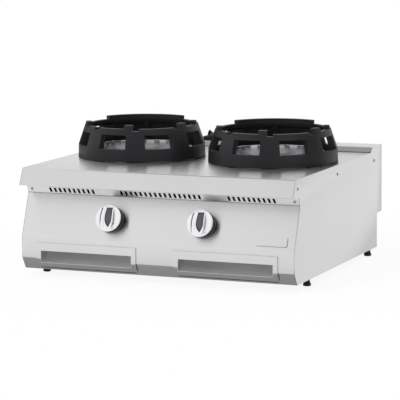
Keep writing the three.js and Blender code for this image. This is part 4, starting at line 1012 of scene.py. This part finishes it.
def slotted_screw(name, place, rotation, slot_turn):
    screw = spun(name, SCREW_PROFILE, sides=32)
    tool = box_tool(-0.006, 0.006, -0.0005, 0.0005, 0.0011, 0.004)
    tool.rotation_euler.z = slot_turn
    cut_away(screw, tool)
    screw.matrix_world = Matrix.Translation(place) @ rotation
    return screw


for name, side in SIDES.items():
    place = spot(side * STRIP_SCREW_X, (STRIP_TOP[0] + STRIP_FOOT[0]) / 2, (STRIP_TOP[1] + STRIP_FOOT[1]) / 2)
    rotation = Matrix.Rotation(pi / 2 + STRIP_LEAN, 4, "X")
    screw = slotted_screw(f"{name}_strip_screw_head", place, rotation, radians(50))
    finished(screw, "root", "plain_steel", plain_steel, f"{name}_strip_screw")
    for number, depth in enumerate(SIDE_SCREW_DEPTHS, 1):
        rotation = Matrix.Rotation(side * pi / 2, 4, "Y")
        place = spot(side * HALF_WIDTH, depth, SIDE_SCREW_Z)
        screw = slotted_screw(f"{name}_side_screw_{number}", place, rotation, radians(20 + 50 * number))
        finished(screw, "root", "plain_steel", plain_steel)

# %% Blank plate on the front panel
PLATE_X, PLATE_Z, PLATE_HALF_X, PLATE_HALF_Y, PLATE_CORNER = 332, 135, 45, 13.5, 5
corner_arcs = [(1, 1, 0), (-1, 1, 90), (-1, -1, 180), (1, -1, 270)]
outline = [
    (sx * (PLATE_HALF_X - PLATE_CORNER) + PLATE_CORNER * cos(radians(first + step)),
     sy * (PLATE_HALF_Y - PLATE_CORNER) + PLATE_CORNER * sin(radians(first + step)))
    for sx, sy, first in corner_arcs for step in range(0, 91, 15)
]
# The pad is a painted shadow: a black copy of the plate, shifted right and down, just behind it.
for name, x, z, low, high, slot, material in (
        ("blank_plate", 0, 0, 0.6, 1.6, "satin_steel", front_steel),
        ("blank_plate_pad", 0.9, -0.7, 0.05, 0.5, "black_plastic", black_moulding)):
    badge = upright(name, outline, low, high)
    rounded(badge, 0.2, 60)
    badge.matrix_world = (Matrix.Translation(spot(PLATE_X + x, panel_depth(PLATE_Z + z), PLATE_Z + z))
                          @ Matrix.Rotation(pi / 2 - PANEL_LEAN, 4, "X"))
    finished(badge, "root", slot, material, smooth=10)

# %% [markdown]
# ## The parts that keep their CAD shape
# The inner sheets, the pipes and the gas taps are plain shapes whose CAD solid is right. They only get
# their finish.

# %% Finishes of the CAD nodes
SLOT_FINISH = {
    "satin_steel": side_steel, "plain_steel": plain_steel, "polished_steel": polished_steel,
    "cast_iron": cast_iron, "brass": brass, "black_plastic": black_moulding, "chrome": chrome,
    "grey_plastic": grey_satin,
}
slots_of = {part["node"]: part["material_slot"] for part in frame["record"]["subparts"]}
for node, piece in frame["nodes"].items():
    piece.data.materials.clear()
    piece.data.materials.append(SLOT_FINISH[slots_of[node]])
print("CAD nodes finished:", len(frame["nodes"]))

# %% [markdown]
# ## Floor and light
# The photograph is a studio shot on white. The pale floor runs far back, so it is also the background,
# and a share of plain white keeps its shadow faint. The world is white and gives the metal its even tone.
# A soft sun from the left lifts the floor and gives the castings their light and dark sides.
# Steel looks flat when all round it is white, so a studio hangs grey cards. They could be lit boards, but
# here only reflections see them. One overhead darkens what faces up, one on the floor under the front
# edge is a painted shadow that the kick reflects, and the others draw dark edges.

# %% Floor
def looking_rays(nodes):
    """1 for what the camera, a reflection or glass sees, and 0 for the light that falls on things."""
    rays = ("Camera", "Glossy", "Transmission")
    seen = [nodes.node("ShaderNodeLightPath", output=f"Is {ray} Ray") for ray in rays]
    return seen[0] + seen[1] + seen[2]


put_down()
bpy.ops.mesh.primitive_plane_add(size=80, location=(0, 20, 0))
floor = bpy.context.object
floor.name = "floor"
pale = Finish("pale_floor", (0.92, 0.92, 0.92), Roughness=1.0, Specular_IOR_Level=0.0)
pale.tint(pale.noise(0.8), 0.01)
FLOOR_GLOW = 0.9
white = pale.node("ShaderNodeEmission", {"Color": (1, 1, 1, 1), "Strength": 1.0})
lit = Signal(pale, pale.shader.outputs["BSDF"])
mixed = pale.node("ShaderNodeMixShader", {0: looking_rays(pale) * FLOOR_GLOW, 1: lit, 2: white})
pale.plug(mixed, pale.tree.nodes["Material Output"].inputs["Surface"])
floor.data.materials.append(pale.material)

# %% World
world = bpy.data.worlds.new("white_room")
world.use_nodes = True
bpy.context.scene.world = world
room = Nodes(world.node_tree)
WORLD_LIGHT = 0.9
strength = looking_rays(room) * (1 - WORLD_LIGHT) + WORLD_LIGHT
background = world.node_tree.nodes["Background"]
background.inputs["Color"].default_value = (1, 1, 1, 1)
room.plug(strength, background.inputs["Strength"])

# %% Lamps and cards
bpy.ops.object.light_add(type="SUN", rotation=(radians(42), radians(-38), 0))
sun = bpy.context.object
sun.data.energy = 1.1
sun.data.angle = radians(35)
sun.visible_glossy = False


def card(name, size, place, facing, level):
    """A card that only reflections see."""
    put_down()
    bpy.ops.mesh.primitive_plane_add(size=1)
    board = bpy.context.object
    board.name = name
    board.scale = (*size, 1)
    board.location = place
    board.rotation_euler = (Vector(facing) - Vector(place)).to_track_quat("Z", "Y").to_euler()
    material = bpy.data.materials.new(name)
    material.use_nodes = True
    nodes = Nodes(material.node_tree)
    glow = nodes.node("ShaderNodeEmission", {"Color": (level, level, level, 1), "Strength": 1.0})
    nodes.plug(glow, material.node_tree.nodes["Material Output"].inputs["Surface"])
    board.data.materials.append(material)
    board.visible_camera = board.visible_diffuse = board.visible_shadow = False
    board.visible_transmission = False
    return board


cards = [
    card("overhead_card", (2.4, 2.0), (0, 0.1, 2.4), (0, 0.1, 0), 0.35),
    # A painted shadow on the floor under the front edge, seen only in reflections.
    card("floor_shadow_card", (0.9, 0.14), (0, -0.38, 0.001), (0, -0.38, 1), 0.30),
    card("right_card", (2.6, 2.4), (3.2, 0.5, 1.2), (0, 0, 0.3), 0.05),
    card("left_card", (2.2, 2.4), (-3.2, 2.3, 1.2), (0, 0, 0.3), 0.05),
    card("camera_card", (2.7, 1.7), (0.75, -3.4, 1.75), (0.75, 0, 1.75), 0.03),
]
print("cards:", [board.name for board in cards])
